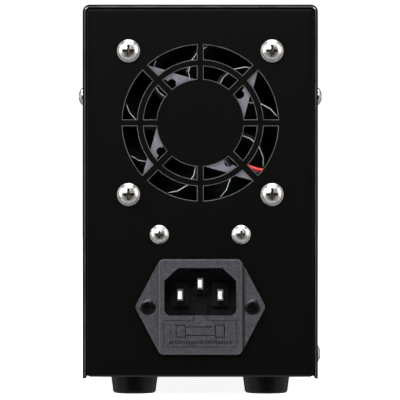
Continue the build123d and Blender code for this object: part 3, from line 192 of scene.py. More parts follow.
def powder_coat(name, base, rough, punched=False, sheet=False):
    """Satin powder coat: soft orange peel, fine specks, and thin pale lines of painted highlight: along the punched
    slot edges near the grille, and along the cover's rear cut edge, with painted glints at its top corners.
    """
    m, t, b = new_material(name)
    v = coords(t)
    peel = noise(t, v, 620.0, 2.0, 0.5)
    speck = noise(t, v, 5200.0, 1.0)
    drift = noise(t, v, 34.0, 5.0, 0.6)
    ground = ramp(t, drift, [(0.25, shade(base, 0.92)), (0.75, shade(base, 1.08))])
    specks = math_node(t, "GREATER_THAN", speck, 0.705)
    ground = mix_colour(t, math_node(t, "MULTIPLY", specks, 0.2), ground, shade(base, 2.0))
    if punched:
        nx, ny, nz = object_normal(t)
        px, py, pz = object_place(t)
        # Painted highlight: the slanted slot edges near the grille get a pale colour, patchy along their length,
        # standing for light caught on them.
        slope = window_of(t, ny, 0.45, 0.93, 0.04)
        dx = math_node(t, "MULTIPLY", px, px)
        up = math_node(t, "SUBTRACT", pz, FAN_CENTRE_Z)
        dz = math_node(t, "MULTIPLY", up, up)
        near = span(t, math_node(t, "SQRT", math_node(t, "ADD", dx, dz)), 1.0, 0.0, 0.0282, 0.0286)
        rim = math_node(t, "MULTIPLY", slope, near, clamp=True)
        rim = math_node(t, "MULTIPLY", rim, span(t, noise(t, v, 240.0, 3.0), 0.55, 1.0, 0.35, 0.6), clamp=True)
        ground = mix_colour(t, rim, ground, (0.085, 0.085, 0.082))
    if sheet:
        nx, ny, nz = object_normal(t)
        px, py, pz = object_place(t)
        side = math_node(t, "ABSOLUTE", px)
        # Painted highlight: a pale line along the cover's rear cut edge, brighter along the top and dimmer down the
        # sides, with painted glints where it turns at the top corners.
        cut_end = span(t, ny, 0.0, 1.0, 0.45, 0.8)
        bend = math_node(t, "MAXIMUM", math_node(t, "SUBTRACT", side, COVER_HALF - COVER_BEND), 0.0)
        rise = math_node(t, "MAXIMUM", math_node(t, "SUBTRACT", pz, COVER_TOP - COVER_BEND), 0.0)
        reach = math_node(t, "SQRT", math_node(t, "ADD", math_node(t, "MULTIPLY", bend, bend),
                                               math_node(t, "MULTIPLY", rise, rise)))
        line = window_of(t, reach, COVER_BEND - 0.00125, COVER_BEND - 0.00058, 0.0001)
        patch = span(t, noise(t, v, 110.0, 3.0), 0.55, 1.0, 0.35, 0.6)
        line = math_node(t, "MULTIPLY", cut_end, math_node(t, "MULTIPLY", line, patch))
        painted_top_highlight = span(t, rise, 0.0, 1.0, COVER_BEND * 0.72, COVER_BEND * 0.82)
        turn = math_node(t, "MULTIPLY", span(t, bend, 0.0, 1.0, COVER_BEND * 0.25, COVER_BEND * 0.5),
                         span(t, rise, 0.0, 1.0, COVER_BEND * 0.25, COVER_BEND * 0.5))
        pale = mix_colour(t, painted_top_highlight, (0.036, 0.036, 0.035), (0.215, 0.215, 0.210))
        pale = mix_colour(t, turn, pale, (0.42, 0.42, 0.41))
        ground = mix_colour(t, line, ground, pale)
    t.links.new(ground, b.inputs["Base Color"])
    t.links.new(span(t, drift, rough - 0.002, rough + 0.003, 0.3, 0.7), b.inputs["Roughness"])
    b.inputs["Specular IOR Level"].default_value = 0.24
    if punched:
        border = math_node(t, "MAXIMUM", span(t, math_node(t, "ABSOLUTE", px), 0.0, 1.0, 0.0380, 0.0385),
                           span(t, pz, 0.0, 1.0, 0.1330, 0.1335))
        dull = math_node(t, "MULTIPLY", window_of(t, ny, 0.15, 0.985, 0.02), border)
        t.links.new(span(t, dull, 0.24, 0.06, 0.0, 1.0), b.inputs["Specular IOR Level"])
    height = math_node(t, "ADD", math_node(t, "MULTIPLY", peel, 0.8), math_node(t, "MULTIPLY", speck, 0.2))
    bump(t, b, height, 0.04, 0.00002)
    return m


def bright_metal(name, base, rough, dark=0.55, swirl=700.0, stretch=(1, 1, 1)):
    """Plated or machined metal: fine scratches, cloudy plating, dark in its hollows."""
    m, t, b = new_material(name)
    v = coords(t, stretch)
    cloud = noise(t, v, 380.0, 4.0)
    fine = noise(t, v, swirl * 6, 2.0)
    colour = ramp(t, cloud, [(0.3, shade(base, 0.86)), (0.7, shade(base, 1.06))])
    geo = t.nodes.new("ShaderNodeNewGeometry")
    hollow = span(t, geo.outputs["Pointiness"], 1.0, 0.0, 0.40, 0.48)
    colour = mix_colour(t, math_node(t, "MULTIPLY", hollow, dark, clamp=True), colour, shade(base, 0.22))
    t.links.new(colour, b.inputs["Base Color"])
    b.inputs["Metallic"].default_value = 1.0
    t.links.new(span(t, cloud, rough - 0.05, rough + 0.07, 0.3, 0.7), b.inputs["Roughness"])
    bump(t, b, fine, 0.06, 0.00002)
    return m


def moulded(name, base, rough, grain=3800.0, grain_strength=0.22, depth=0.00005, tone=0.10, specular=0.45):
    """Spark-eroded moulded plastic: even fine grain, slight flow marks."""
    m, t, b = new_material(name)
    v = coords(t)
    g = noise(t, v, grain, 2.0, 0.6)
    flow = noise(t, v, 60.0, 4.0)
    mottle = noise(t, v, 1500.0, 2.0)
    colour = ramp(t, flow, [(0.3, shade(base, 1 - tone)), (0.7, shade(base, 1 + tone))])
    colour = mix_colour(t, span(t, mottle, 0.0, 0.55, 0.5, 0.8), colour, shade(base, 1.5))
    t.links.new(colour, b.inputs["Base Color"])
    t.links.new(span(t, g, rough - 0.06, rough + 0.08, 0.3, 0.7), b.inputs["Roughness"])
    b.inputs["Specular IOR Level"].default_value = specular
    bump(t, b, g, grain_strength, depth)
    return m


def cross_screw(name, base, rough, cx, zc, cz, top_y, dome_r, arm, head):
    """Plated pan heads: clouded plating over the dome, a painted darker ring and painted shade towards its edge, and a
    dull brown painted shadow inside the cross recess.
    """
    m, t, b = new_material(name)
    v = coords(t)
    px, py, pz = object_place(t)
    dx = math_node(t, "SUBTRACT", math_node(t, "ABSOLUTE", px), cx)
    dz = math_node(t, "SUBTRACT", math_node(t, "ABSOLUTE", math_node(t, "SUBTRACT", pz, zc)), cz)
    rr = math_node(t, "ADD", math_node(t, "MULTIPLY", dx, dx), math_node(t, "MULTIPLY", dz, dz))
    skin = math_node(t, "SUBTRACT", top_y - 0.00010, math_node(t, "MULTIPLY", rr, 0.5 / dome_r))
    sunk = math_node(t, "LESS_THAN", py, skin)
    within = math_node(t, "LESS_THAN", math_node(t, "SQRT", rr), arm + 0.00006)
    recess = math_node(t, "MULTIPLY", sunk, within)
    cloud = noise(t, v, 760.0, 4.0)
    fine = noise(t, v, 3600.0, 2.0)
    plate = ramp(t, cloud, [(0.32, shade(base, 0.60)), (0.62, base)])
    wobble = math_node(t, "MULTIPLY", math_node(t, "SUBTRACT", noise(t, v, 420.0, 2.0), 0.5), 0.0006)
    reach = math_node(t, "ADD", math_node(t, "SQRT", rr), wobble)
    # Painted shade: a darker ring on the dome, and darker still towards its edge.
    painted_shade_ring = window_of(t, reach, head * 0.80, head * 0.87, 0.00010)
    plate = mix_colour(t, math_node(t, "MULTIPLY", painted_shade_ring, 0.75), plate, shade(base, 0.12))
    painted_edge_shade = span(t, reach, 0.0, 0.55, head * 0.88, head * 0.97)
    plate = mix_colour(t, painted_edge_shade, plate, shade(base, 0.35))
    # Painted shadow inside the cross recess.
    hollow = ramp(t, noise(t, v, 900.0, 3.0), [(0.35, (0.03, 0.023, 0.018)), (0.62, (0.30, 0.25, 0.20))])
    t.links.new(mix_colour(t, recess, plate, hollow), b.inputs["Base Color"])
    b.inputs["Metallic"].default_value = 1.0
    gloss = span(t, cloud, rough - 0.04, rough + 0.08, 0.3, 0.7)
    t.links.new(math_node(t, "ADD", gloss, math_node(t, "MULTIPLY", recess, 0.25)), b.inputs["Roughness"])
    bump(t, b, math_node(t, "ADD", fine, math_node(t, "MULTIPLY", cloud, 2.0)), 0.10, 0.00004)
    return m


def pin_metal(name):
    """Connector blades: painted highlight on the tips, kept off their -X part, and painted shade on the sides."""
    m, t, b = new_material(name)
    v = coords(t)
    nx, ny, nz = object_normal(t)
    px, py, pz = object_place(t)
    row = math_node(t, "ROUND", math_node(t, "DIVIDE", px, 0.007))
    lx = math_node(t, "SUBTRACT", px, math_node(t, "MULTIPLY", row, 0.007))
    lz = math_node(t, "ADD", math_node(t, "SUBTRACT", pz, 0.03876),
                   math_node(t, "MULTIPLY", math_node(t, "ABSOLUTE", row), 0.004))
    # Painted highlight patch on each tip; its -X part and the sides keep the painted shade colour.
    painted_lit_window = math_node(t, "MULTIPLY", window_of(t, lx, -0.00046, 0.00090, 0.00014),
                     window_of(t, lz, -0.00140, 0.00145, 0.00016))
    tip = math_node(t, "MULTIPLY", span(t, ny, 0.0, 1.0, 0.93, 0.985), painted_lit_window)
    cloud = noise(t, v, 900.0, 3.0)
    # side: painted shade colour; end: painted highlight colour.
    side = ramp(t, cloud, [(0.3, (0.07, 0.07, 0.073)), (0.7, (0.13, 0.13, 0.135))])
    end = ramp(t, cloud, [(0.3, (0.60, 0.60, 0.59)), (0.7, (0.82, 0.82, 0.81))])
    t.links.new(mix_colour(t, tip, side, end), b.inputs["Base Color"])
    b.inputs["Metallic"].default_value = 0.3
    t.links.new(span(t, cloud, 0.26, 0.40, 0.3, 0.7), b.inputs["Roughness"])
    bump(t, b, noise(t, v, 4200.0, 2.0), 0.05, 0.00002)
    return m


def inlet_plastic(name, base, face_y, cut=False, block=0.0):
    """Speckled moulded plastic with painted shadow down the socket; cut lines get painted shade. With a block
    half-width, a painted highlight on the slanted edges near the face and a painted shadow strip beside the raised
    block.
    """
    m, t, b = new_material(name)
    v = coords(t)
    px, py, pz = object_place(t)
    depth = math_node(t, "SUBTRACT", face_y, py)
    shadow = span(t, depth, 1.0, 0.16, 0.0016, 0.0085)
    shadow = math_node(t, "MINIMUM", math_node(t, "MAXIMUM", shadow, 0.16), 1.0)
    g = noise(t, v, 1500.0, 4.0, 0.75)
    flow = noise(t, v, 70.0, 4.0)
    speckle = ramp(t, g, [(0.34, shade(base, 0.52)), (0.5, shade(base, 0.98)), (0.66, shade(base, 1.70))])
    drift = ramp(t, flow, [(0.3, (0.90, 0.90, 0.90)), (0.7, (1.0, 1.0, 1.0))])
    mul = t.nodes.new("ShaderNodeMix")
    mul.data_type = "RGBA"
    mul.blend_type = "MULTIPLY"
    mul.inputs[0].default_value = 1.0
    t.links.new(speckle, mul.inputs[6])
    t.links.new(drift, mul.inputs[7])
    colour = mix_colour(t, shadow, shade(base, 0.06), mul.outputs[2])
    if cut:
        # Painted shade in the cut lines.
        line = window_of(t, depth, 0.00010, 0.00070, 0.00004)
        colour = mix_colour(t, line, colour, shade(base, 0.02))
    if block:
        nx, ny, nz = object_normal(t)
        # Painted highlight on the slanted edges near the face.
        outer = math_node(t, "MULTIPLY", window_of(t, ny, 0.20, 0.95, 0.04), span(t, depth, 1.0, 0.0, 0.0030, 0.0034))
        colour = mix_colour(t, math_node(t, "MULTIPLY", outer, 0.45), colour, shade(base, 2.6))
        # Painted shadow strip beside the raised block, below the face.
        beside = window_of(t, px, -block - 0.00075, -block + 0.00002, 0.00012)
        below = window_of(t, depth, 0.00040, 0.0030, 0.00010)
        colour = mix_colour(t, math_node(t, "MULTIPLY", beside, math_node(t, "MULTIPLY", below, 0.8)), colour,
                            shade(base, 0.10))
    t.links.new(colour, b.inputs["Base Color"])
    t.links.new(span(t, g, 0.40, 0.54, 0.3, 0.7), b.inputs["Roughness"])
    b.inputs["Specular IOR Level"].default_value = 0.36
    bump(t, b, g, 0.30, 0.00007)
    return m


def fan_plastic(name, ring, strut):
    """Fan frame: dark ring, with the slanted struts and motor plate painted paler and grainy: painted light on the same
    dark moulding.
    """
    m, t, b = new_material(name)
    v = coords(t)
    px, py, pz = object_place(t)
    up = math_node(t, "SUBTRACT", pz, FAN_CENTRE_Z)
    r = math_node(t, "SQRT", math_node(t, "ADD", math_node(t, "MULTIPLY", px, px), math_node(t, "MULTIPLY", up, up)))
    # Painted light: the struts and motor plate inside the ring, towards the rear, get the pale lit colour.
    inside = span(t, r, 1.0, 0.0, 0.0276, 0.0279)
    rearward = span(t, py, 0.0, 1.0, FAN_BACK_Y - 0.0026, FAN_BACK_Y - 0.0024)
    mask = math_node(t, "MULTIPLY", inside, rearward, clamp=True)
    grain = noise(t, v, 2300.0, 3.0, 0.7)
    flow = noise(t, v, 120.0, 4.0)
    pale = ramp(t, grain, [(0.32, shade(strut, 0.72)), (0.68, shade(strut, 1.22))])
    dark = ramp(t, flow, [(0.3, shade(ring, 0.85)), (0.7, shade(ring, 1.15))])
    t.links.new(mix_colour(t, mask, dark, pale), b.inputs["Base Color"])
    t.links.new(span(t, grain, 0.38, 0.52, 0.3, 0.7), b.inputs["Roughness"])
    b.inputs["Specular IOR Level"].default_value = 0.4
    bump(t, b, grain, 0.16, 0.00005)
    return m


def gloss_plastic(name, base, rough=0.22, tone=0.12, clear=0.0):
    m, t, b = new_material(name)
    v = coords(t)
    slow = noise(t, v, 110.0, 3.0)
    fine = noise(t, v, 2400.0, 2.0)
    t.links.new(ramp(t, slow, [(0.3, shade(base, 1 - tone)), (0.7, shade(base, 1 + tone))]), b.inputs["Base Color"])
    t.links.new(span(t, slow, rough - 0.03, rough + 0.05, 0.3, 0.7), b.inputs["Roughness"])
    if clear:
        b.inputs["Transmission Weight"].default_value = clear
        b.inputs["IOR"].default_value = 1.49
    bump(t, b, fine, 0.04, 0.00003)
    return m


def banded(name, base, stripe, axis, pitch, share, rough=0.4, metallic=0.0, grain=1800.0):
    """A surface with regular bands along one axis, such as turns of wire or tape edges."""
    m, t, b = new_material(name)
    v = coords(t)
    sep = t.nodes.new("ShaderNodeSeparateXYZ")
    t.links.new(v, sep.inputs[0])
    along = math_node(t, "FRACT", math_node(t, "MULTIPLY", sep.outputs[axis], 1.0 / pitch))
    band = math_node(t, "LESS_THAN", along, share)
    slow = noise(t, v, 140.0, 3.0)
    ground = ramp(t, slow, [(0.3, shade(base, 0.86)), (0.7, shade(base, 1.12))])
    t.links.new(mix_colour(t, band, ground, stripe), b.inputs["Base Color"])
    t.links.new(span(t, slow, rough - 0.06, rough + 0.08, 0.3, 0.7), b.inputs["Roughness"])
    b.inputs["Metallic"].default_value = metallic
    height = math_node(t, "PINGPONG", math_node(t, "MULTIPLY", sep.outputs[axis], 1.0 / pitch), 0.5)
    bump(t, b, height, 0.35, pitch * 0.4)
    return m


def split_by_x(name, left, right, rough=0.3):
    """Two insulation colours, told apart by which side of the middle they lie."""
    m, t, b = new_material(name)
    v = coords(t)
    sep = t.nodes.new("ShaderNodeSeparateXYZ")
    t.links.new(v, sep.inputs[0])
    side = math_node(t, "GREATER_THAN", sep.outputs[0], 0.0)
    slow = noise(t, v, 200.0, 3.0)
    fine = noise(t, v, 2600.0, 2.0)
    a = ramp(t, slow, [(0.3, shade(left, 0.85)), (0.7, shade(left, 1.1))])
    c = ramp(t, slow, [(0.3, shade(right, 0.85)), (0.7, shade(right, 1.1))])
    t.links.new(mix_colour(t, side, a, c), b.inputs["Base Color"])
    t.links.new(span(t, slow, rough - 0.04, rough + 0.06, 0.3, 0.7), b.inputs["Roughness"])
    bump(t, b, fine, 0.08, 0.00003)
    return m


def circuit_board(name):
    """Green solder mask with a tangle of slightly raised tracks and tinned pads."""
    m, t, b = new_material(name)
    v = coords(t)
    brick = t.nodes.new("ShaderNodeTexBrick")
    brick.inputs["Scale"].default_value = 95.0
    brick.inputs["Mortar Size"].default_value = 0.035
    brick.inputs["Color1"].default_value = (0.003, 0.016, 0.008, 1)
    brick.inputs["Color2"].default_value = (0.004, 0.021, 0.010, 1)
    brick.inputs["Mortar"].default_value = (0.006, 0.036, 0.015, 1)
    t.links.new(v, brick.inputs["Vector"])
    vor = t.nodes.new("ShaderNodeTexVoronoi")
    vor.inputs["Scale"].default_value = 260.0
    t.links.new(v, vor.inputs["Vector"])
    pad = math_node(t, "LESS_THAN", vor.outputs["Distance"], 0.17)
    t.links.new(mix_colour(t, pad, brick.outputs["Color"], (0.55, 0.55, 0.53)), b.inputs["Base Color"])
    t.links.new(math_node(t, "MULTIPLY", pad, 0.9), b.inputs["Metallic"])
    t.links.new(span(t, noise(t, v, 300.0), 0.28, 0.42, 0.3, 0.7), b.inputs["Roughness"])
    bump(t, b, brick.outputs["Fac"], 0.12, 0.00006)
    return m


# ------------------------------------------------------------------ materials
BLACK = (0.0014, 0.0015, 0.0012)
M = {
    "coat": powder_coat("powder_coat_black", BLACK, 0.27, sheet=True),
    "panel": powder_coat("powder_coat_punched_panel", BLACK, 0.27, punched=True),
    "nickel": bright_metal("bright_nickel", (0.80, 0.79, 0.77), 0.20, dark=0.75),
    "zinc": bright_metal("bright_zinc", (0.66, 0.66, 0.65), 0.28),
    "black_screw": bright_metal("black_oxide", (0.042, 0.042, 0.047), 0.30, dark=0.5),
    "rubber": finish_of("foot_rubber", (0.0022, 0.0022, 0.0022), 0.30, specular=0.16, grain=1300.0, grain_strength=0.2, tone=0.2,
                        grain_depth=0.00004),
    "fan": moulded("fan_blade_plastic", (0.0035, 0.0035, 0.0042), 0.30, grain_strength=0.05, specular=0.3),
    # The strut colour is painted light, the same dark plastic shown as if lit.
    "strut": fan_plastic("fan_frame_plastic", (0.008, 0.008, 0.009), (0.128, 0.126, 0.152)),
    "copper": banded("enamelled_copper", (0.48, 0.16, 0.05), (0.20, 0.06, 0.02), 1, 0.0005, 0.35, 0.3, 0.9),
    "inlet": inlet_plastic("inlet_plastic", (0.0295, 0.0292, 0.0345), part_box("inlet_housing")[1][1],
                           block=0.01475),
    "drawer": inlet_plastic("drawer_plastic", (0.0280, 0.0277, 0.0328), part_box("fuse_drawer")[1][1], cut=True),
    "fan_screw": cross_screw("nickel_fan_screw", (0.70, 0.69, 0.67), 0.27, 0.025, FAN_CENTRE_Z, 0.025,
                             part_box("fan_screws")[1][1], 0.005253, 0.0023, 0.0040),
    "low_screw": cross_screw("nickel_bracket_screw", (0.70, 0.69, 0.67), 0.27, 0.01425, 0.05585, 0.0,
                             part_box("bracket_screws")[1][1], 0.00462, 0.0015, 0.0033),
    "contact": bright_metal("plated_contact", (0.80, 0.79, 0.76), 0.24, dark=0.3),
    "pin": pin_metal("nickel_pin"),
    "aluminium": bright_metal("mill_aluminium", (0.62, 0.62, 0.63), 0.34, dark=0.35, stretch=(1, 0.08, 1)),
    "brass": bright_metal("turned_brass", (0.64, 0.47, 0.20), 0.26, dark=0.4),
    "heatsink": finish_of("anodised_heatsink", (0.0025, 0.0025, 0.0028), 0.60, tone=0.2, tone_scale=200.0,
                          grain=2200.0, grain_strength=0.15, specular=0.04),
    "board": circuit_board("circuit_board"),
    "cap": gloss_plastic("capacitor_sleeve", (0.012, 0.016, 0.045), 0.26),
    "ferrite": finish_of("ferrite", (0.026, 0.026, 0.028), 0.62, grain=900.0, grain_strength=0.4),
    "tape": banded("winding_tape", (0.50, 0.31, 0.03), (0.36, 0.20, 0.02), 2, 0.0049, 0.10, 0.30),
    "chip": moulded("moulded_epoxy", (0.014, 0.014, 0.015), 0.5),
    "bezel": moulded("bezel_plastic", (0.016, 0.0165, 0.0175), 0.44, grain=2200.0, grain_strength=0.35, depth=0.00008),
    "knob": moulded("knob_plastic", (0.013, 0.013, 0.0145), 0.38, grain=3000.0, grain_strength=0.16),
    "display": finish_of("display_face", (0.0022, 0.0022, 0.0024), 0.30, tone=0.12, tone_scale=120.0, grain=2600.0,
                         grain_strength=0.05, specular=0.12),
    "button": moulded("button_plastic", (0.46, 0.46, 0.44), 0.36, grain_strength=0.12),
    "post_black": gloss_plastic("post_cap_black", (0.010, 0.010, 0.0105), 0.30),
    "post_green": gloss_plastic("post_cap_green", (0.010, 0.145, 0.040), 0.30),
    "post_red": gloss_plastic("post_cap_red", (0.420, 0.012, 0.010), 0.30),
    "brown": gloss_plastic("wire_brown", (0.115, 0.040, 0.016), 0.34),
    "blue": gloss_plastic("wire_blue", (0.02, 0.08, 0.38), 0.34),
    "earth": banded("wire_green_yellow", (0.05, 0.28, 0.03), (0.62, 0.52, 0.03), 2, 0.0035, 0.5, 0.34),
    "output": split_by_x("output_lead_insulation", (0.012, 0.012, 0.012), (0.52, 0.015, 0.012)),
    "ribbon": banded("ribbon_cable", (0.0060, 0.0060, 0.0066), (0.0022, 0.0022, 0.0025), 0, 0.00127, 0.18, 0.42),
}


def glass(name, colour, rough, alpha_like):
    m, t, b = new_material(name)
    v = coords(t)
    smear = noise(t, v, 70.0, 4.0)
    t.links.new(ramp(t, smear, [(0.35, shade(colour, 0.92)), (0.65, shade(colour, 1.06))]), b.inputs["Base Color"])
    t.links.new(span(t, smear, rough, rough + 0.05, 0.35, 0.7), b.inputs["Roughness"])
    b.inputs["Transmission Weight"].default_value = alpha_like
    b.inputs["IOR"].default_value = 1.49
    return m


M["glass"] = glass("fuse_glass", (0.93, 0.96, 0.95), 0.02, 1.0)
M["window"] = glass("smoked_window", (0.20, 0.20, 0.205), 0.012, 1.0)


def lit(name, colour, strength, rough=0.3):
    m, t, b = new_material(name)
    v = coords(t)
    glow = noise(t, v, 900.0, 2.0)
    t.links.new(ramp(t, glow, [(0.2, shade(colour, 0.8)), (0.8, colour)]), b.inputs["Base Color"])
    t.links.new(ramp(t, glow, [(0.2, shade(colour, 0.82)), (0.8, colour)]), b.inputs["Emission Color"])
    b.inputs["Emission Strength"].default_value = strength
    b.inputs["Roughness"].default_value = rough
    return m


M["led_red"] = lit("led_lens", (0.75, 0.05, 0.03), 0.25)
M["digit_red"] = lit("digit_segment_red", (1.0, 0.05, 0.025), 3.0)
M["digit_green"] = lit("digit_segment_green", (0.08, 1.0, 0.11), 2.3)
M["digit_off"] = gloss_plastic("digit_segment_off", (0.05, 0.045, 0.045), 0.4)
M["print"] = finish_of("pad_print_white", (0.62, 0.62, 0.60), 0.5, tone=0.06, grain=2600.0, grain_strength=0.05)


def two_leads(name):
    """The fan's red lead runs above its black one; the dividing height follows their common route."""
    m, t, b = new_material(name)
    v = coords(t)
    px, py, pz = object_place(t)
    route = t.nodes.new("ShaderNodeFloatCurve")
    curve = route.mapping.curves[0]
    # across 0 to 40 mm to the side, 0 to 25 mm below the fan's centre
    points = [(0.0, 0.0), (11.0, 11.85), (14.4, 14.62), (19.4, 16.92), (26.0, 17.66), (31.0, 17.80), (33.2, 18.2), (40.0, 25.0)]
    while len(curve.points) < len(points):
        curve.points.new(0.5, 0.5)
    for p, (a, c) in zip(curve.points, points):
        p.location = (a / 40.0, c / 25.0)
        p.handle_type = "VECTOR"
    route.mapping.update()
    t.links.new(math_node(t, "MULTIPLY", px, -1.0 / 0.040), route.inputs["Value"])
    below = math_node(t, "MULTIPLY", math_node(t, "SUBTRACT", FAN_CENTRE_Z, pz), 1.0 / 0.025)
    upper = math_node(t, "LESS_THAN", below, route.outputs[0])
    outer = math_node(t, "LESS_THAN", px, -0.0338)
    pick = math_node(t, "MAXIMUM", upper, outer)
    slow = noise(t, v, 220.0, 3.0)
    red = ramp(t, slow, [(0.3, (0.62, 0.035, 0.032)), (0.7, (0.78, 0.085, 0.075))])
    black = ramp(t, slow, [(0.3, (0.008, 0.008, 0.009)), (0.7, (0.014, 0.014, 0.015))])
    t.links.new(mix_colour(t, pick, black, red), b.inputs["Base Color"])
    t.links.new(span(t, slow, 0.26, 0.38, 0.3, 0.7), b.inputs["Roughness"])
    bump(t, b, noise(t, v, 2600.0), 0.08, 0.00003)
    return m


M["lead_red"] = two_leads("fan_lead_insulation")
# Pale blade edge finish: painted highlight for the black blade edges.
M["rim"] = finish_of("blade_rim_plastic", (0.52, 0.52, 0.54), 0.30, tone=0.35, tone_scale=260.0, grain=2600.0,
                     grain_strength=0.1)

USE = {
    "chassis": "panel", "cover": "coat", "cover_screws": "zinc", "rubber_feet": "rubber", "foot_screws": "zinc",
    "fan_frame": "strut", "fan_stator": "copper", "fan_rotor": "fan", "fan_screws": "fan_screw", "rear_nuts": "zinc",
    "inlet_housing": "inlet", "inlet_terminals": "pin", "fuse_drawer": "drawer", "fuse_glass": "glass",
    "fuse_caps": "contact", "inlet_screws": "black_screw", "rectifier_bracket": "aluminium",
    "bracket_screws": "low_screw", "board_standoffs": "brass", "main_board": "board", "inner_screws": "zinc",
    "capacitors": "cap", "transformer_core": "ferrite", "transformer_winding": "tape", "heatsinks": "heatsink",
    "power_semiconductors": "chip", "inductors": "ferrite", "front_bezel": "bezel", "display_window": "window",
    "digit_displays": "display", "display_board": "board", "indicator_leds": "led_red", "encoder_bodies": "contact",
    "voltage_plunger": "contact", "voltage_shaft": "aluminium", "voltage_knob": "knob",
    "current_plunger": "contact", "current_shaft": "aluminium", "current_knob": "knob", "output_switch": "chip",
    "output_button": "button", "rocker_housing": "knob", "power_rocker": "knob", "post_bases": "knob",
    "post_studs": "brass", "black_post_cap": "post_black", "black_post_insert": "brass",
    "green_post_cap": "post_green", "green_post_insert": "brass", "red_post_cap": "post_red",
    "red_post_insert": "brass", "front_nuts": "contact", "earth_stud": "contact", "live_wires": "brown",
    "neutral_wire": "blue", "earth_wires": "earth", "fan_leads": "lead_red", "output_leads": "output",
    "display_ribbon": "ribbon",
}
for name, key in USE.items():
    ob = nodes[name]
    if not ob.material_slots:
        ob.data.materials.append(M[key])
    for s in ob.material_slots:
        s.material = M[key]
missing = sorted(set(nodes) - set(USE))
if missing:
    raise RuntimeError("no material for " + ", ".join(missing))



# ------------------------------------------------------------------ added detail, in millimetres until it is written
MM = 0.001
FACE_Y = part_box("front_bezel")[0][1] / MM
WINDOW_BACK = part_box("display_window")[1][1] / MM
DIGIT_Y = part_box("digit_displays")[0][1] / MM


def finish_mesh(name, bm, body, material):
    bmesh.ops.remove_doubles(bm, verts=bm.verts, dist=1e-7)
    bmesh.ops.recalc_face_normals(bm, faces=bm.faces)
    me = bpy.data.meshes.new(name)
    bm.to_mesh(me)
    bm.free()
    ob = bpy.data.objects.new(name, me)
    scene.collection.objects.link(ob)
    me.materials.append(material)
    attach(ob, body)
    return ob


def slab(bm, outline, back, front):
    """Closed prism between two depths over an outline of (x, z) corners."""
    rear = [bm.verts.new((x * MM, back * MM, z * MM)) for x, z in outline]
    fore = [bm.verts.new((x * MM, front * MM, z * MM)) for x, z in outline]
    bm.faces.new(rear)
    bm.faces.new(list(reversed(fore)))
    for i in range(len(outline)):
        j = (i + 1) % len(outline)
        bm.faces.new((rear[i], fore[i], fore[j], rear[j]))


def ribbon(bm, points, width, back, front, closed=False):
    """Printed line of even width with mitred corners."""
    pts = [Vector(p) for p in points]
    n = len(pts)
    left, right = [], []
    for i, p in enumerate(pts):
        before = pts[i - 1] if (i or closed) else None
        after = pts[(i + 1) % n] if (i < n - 1 or closed) else None
        a = (p - before).normalized() if before is not None else None
        c = (after - p).normalized() if after is not None else None
        a = a if a is not None else c
        c = c if c is not None else a
        mid = (a + c).normalized()
        side = Vector((-mid.y, mid.x))
        reach = width / 2 / max(0.35, side.dot(Vector((-a.y, a.x))))
        left.append(p + side * reach)
        right.append(p - side * reach)
    ring = []
    for l, r in zip(left, right):
        ring.append([bm.verts.new((q.x * MM, y * MM, q.y * MM)) for q, y in ((l, back), (r, back), (r, front), (l, front))])
    count = n if closed else n - 1
    for i in range(count):
        a, c = ring[i], ring[(i + 1) % n]
        for k in range(4):
            bm.faces.new((a[k], a[(k + 1) % 4], c[(k + 1) % 4], c[k]))
    if not closed:
        bm.faces.new(ring[0])
        bm.faces.new(list(reversed(ring[-1])))


def arc_points(cx, cz, r, start, end, steps):
    return [(cx + r * math.cos(math.radians(start + (end - start) * i / steps)),
             cz + r * math.sin(math.radians(start + (end - start) * i / steps))) for i in range(steps + 1)]


# seven-segment figures on the two display modules
SEGMENTS = {"0": "abcdef", "1": "bc", "2": "abged", "3": "abgcd", "4": "fgbc", "5": "afgcd", "6": "afgedc",
            "7": "abc", "8": "abcdefg", "9": "abcdfg"}


def segment_outline(which, cx, cz, w=6.6, h=12.6, thick=1.45, gap=0.16, lean=0.14):
    half_w, half_h = w / 2, h / 2
    ends = {"a": ((-half_w, half_h), (half_w, half_h)), "g": ((-half_w, 0), (half_w, 0)),
            "d": ((-half_w, -half_h), (half_w, -half_h)), "f": ((-half_w, 0), (-half_w, half_h)),
            "b": ((half_w, 0), (half_w, half_h)), "e": ((-half_w, -half_h), (-half_w, 0)),
            "c": ((half_w, -half_h), (half_w, 0))}[which]
    a, c = Vector(ends[0]), Vector(ends[1])
    along = (c - a).normalized()
    side = Vector((-along.y, along.x)) * thick / 2
    a, c = a + along * gap, c - along * gap
    nose = along * thick / 2
    shape = [a, a + nose + side, c - nose + side, c, c - nose - side, a + nose - side]
    return [(cx + p.x + lean * p.y, cz + p.y) for p in shape]


for label, z, figures, point_after, colour in (
        ("upper", 120.6, "1200", 1, "digit_red"), ("lower", 101.4, "0500", 0, "digit_green")):
    on, off = bmesh.new(), bmesh.new()
    for i, figure in enumerate(figures):
        cx = -4.0 + (i - 1.5) * 12.0
        for which in "abcdefg":
            target = on if which in SEGMENTS[figure] else off
            slab(target, segment_outline(which, cx, z), DIGIT_Y + 0.02, DIGIT_Y - 0.10)
        dot = [(cx + 4.9 + 0.85 * math.cos(math.radians(a)), z - 6.3 + 0.85 * math.sin(math.radians(a)))
               for a in range(0, 360, 24)]
        slab(on if i == point_after else off, dot, DIGIT_Y + 0.02, DIGIT_Y - 0.10)
    finish_mesh("figures_" + label + "_lit", on, "case", M[colour])
    finish_mesh("figures_" + label + "_dark", off, "case", M["digit_off"])

# unit letters printed on the back of the window
bm = bmesh.new()
for z, strokes in ((120.6, [[(-1.5, 2.2), (0.0, -2.2), (1.5, 2.2)]]),
                   (101.4, [[(-1.5, -2.2), (0.0, 2.2), (1.5, -2.2)], [(-0.92, -0.6), (0.92, -0.6)]])):
    for s in strokes:
        ribbon(bm, [(26.0 + x, z + dz) for x, dz in s], 0.5, WINDOW_BACK + 0.07, WINDOW_BACK + 0.01)
finish_mesh("window_unit_letters", bm, "case", M["print"])

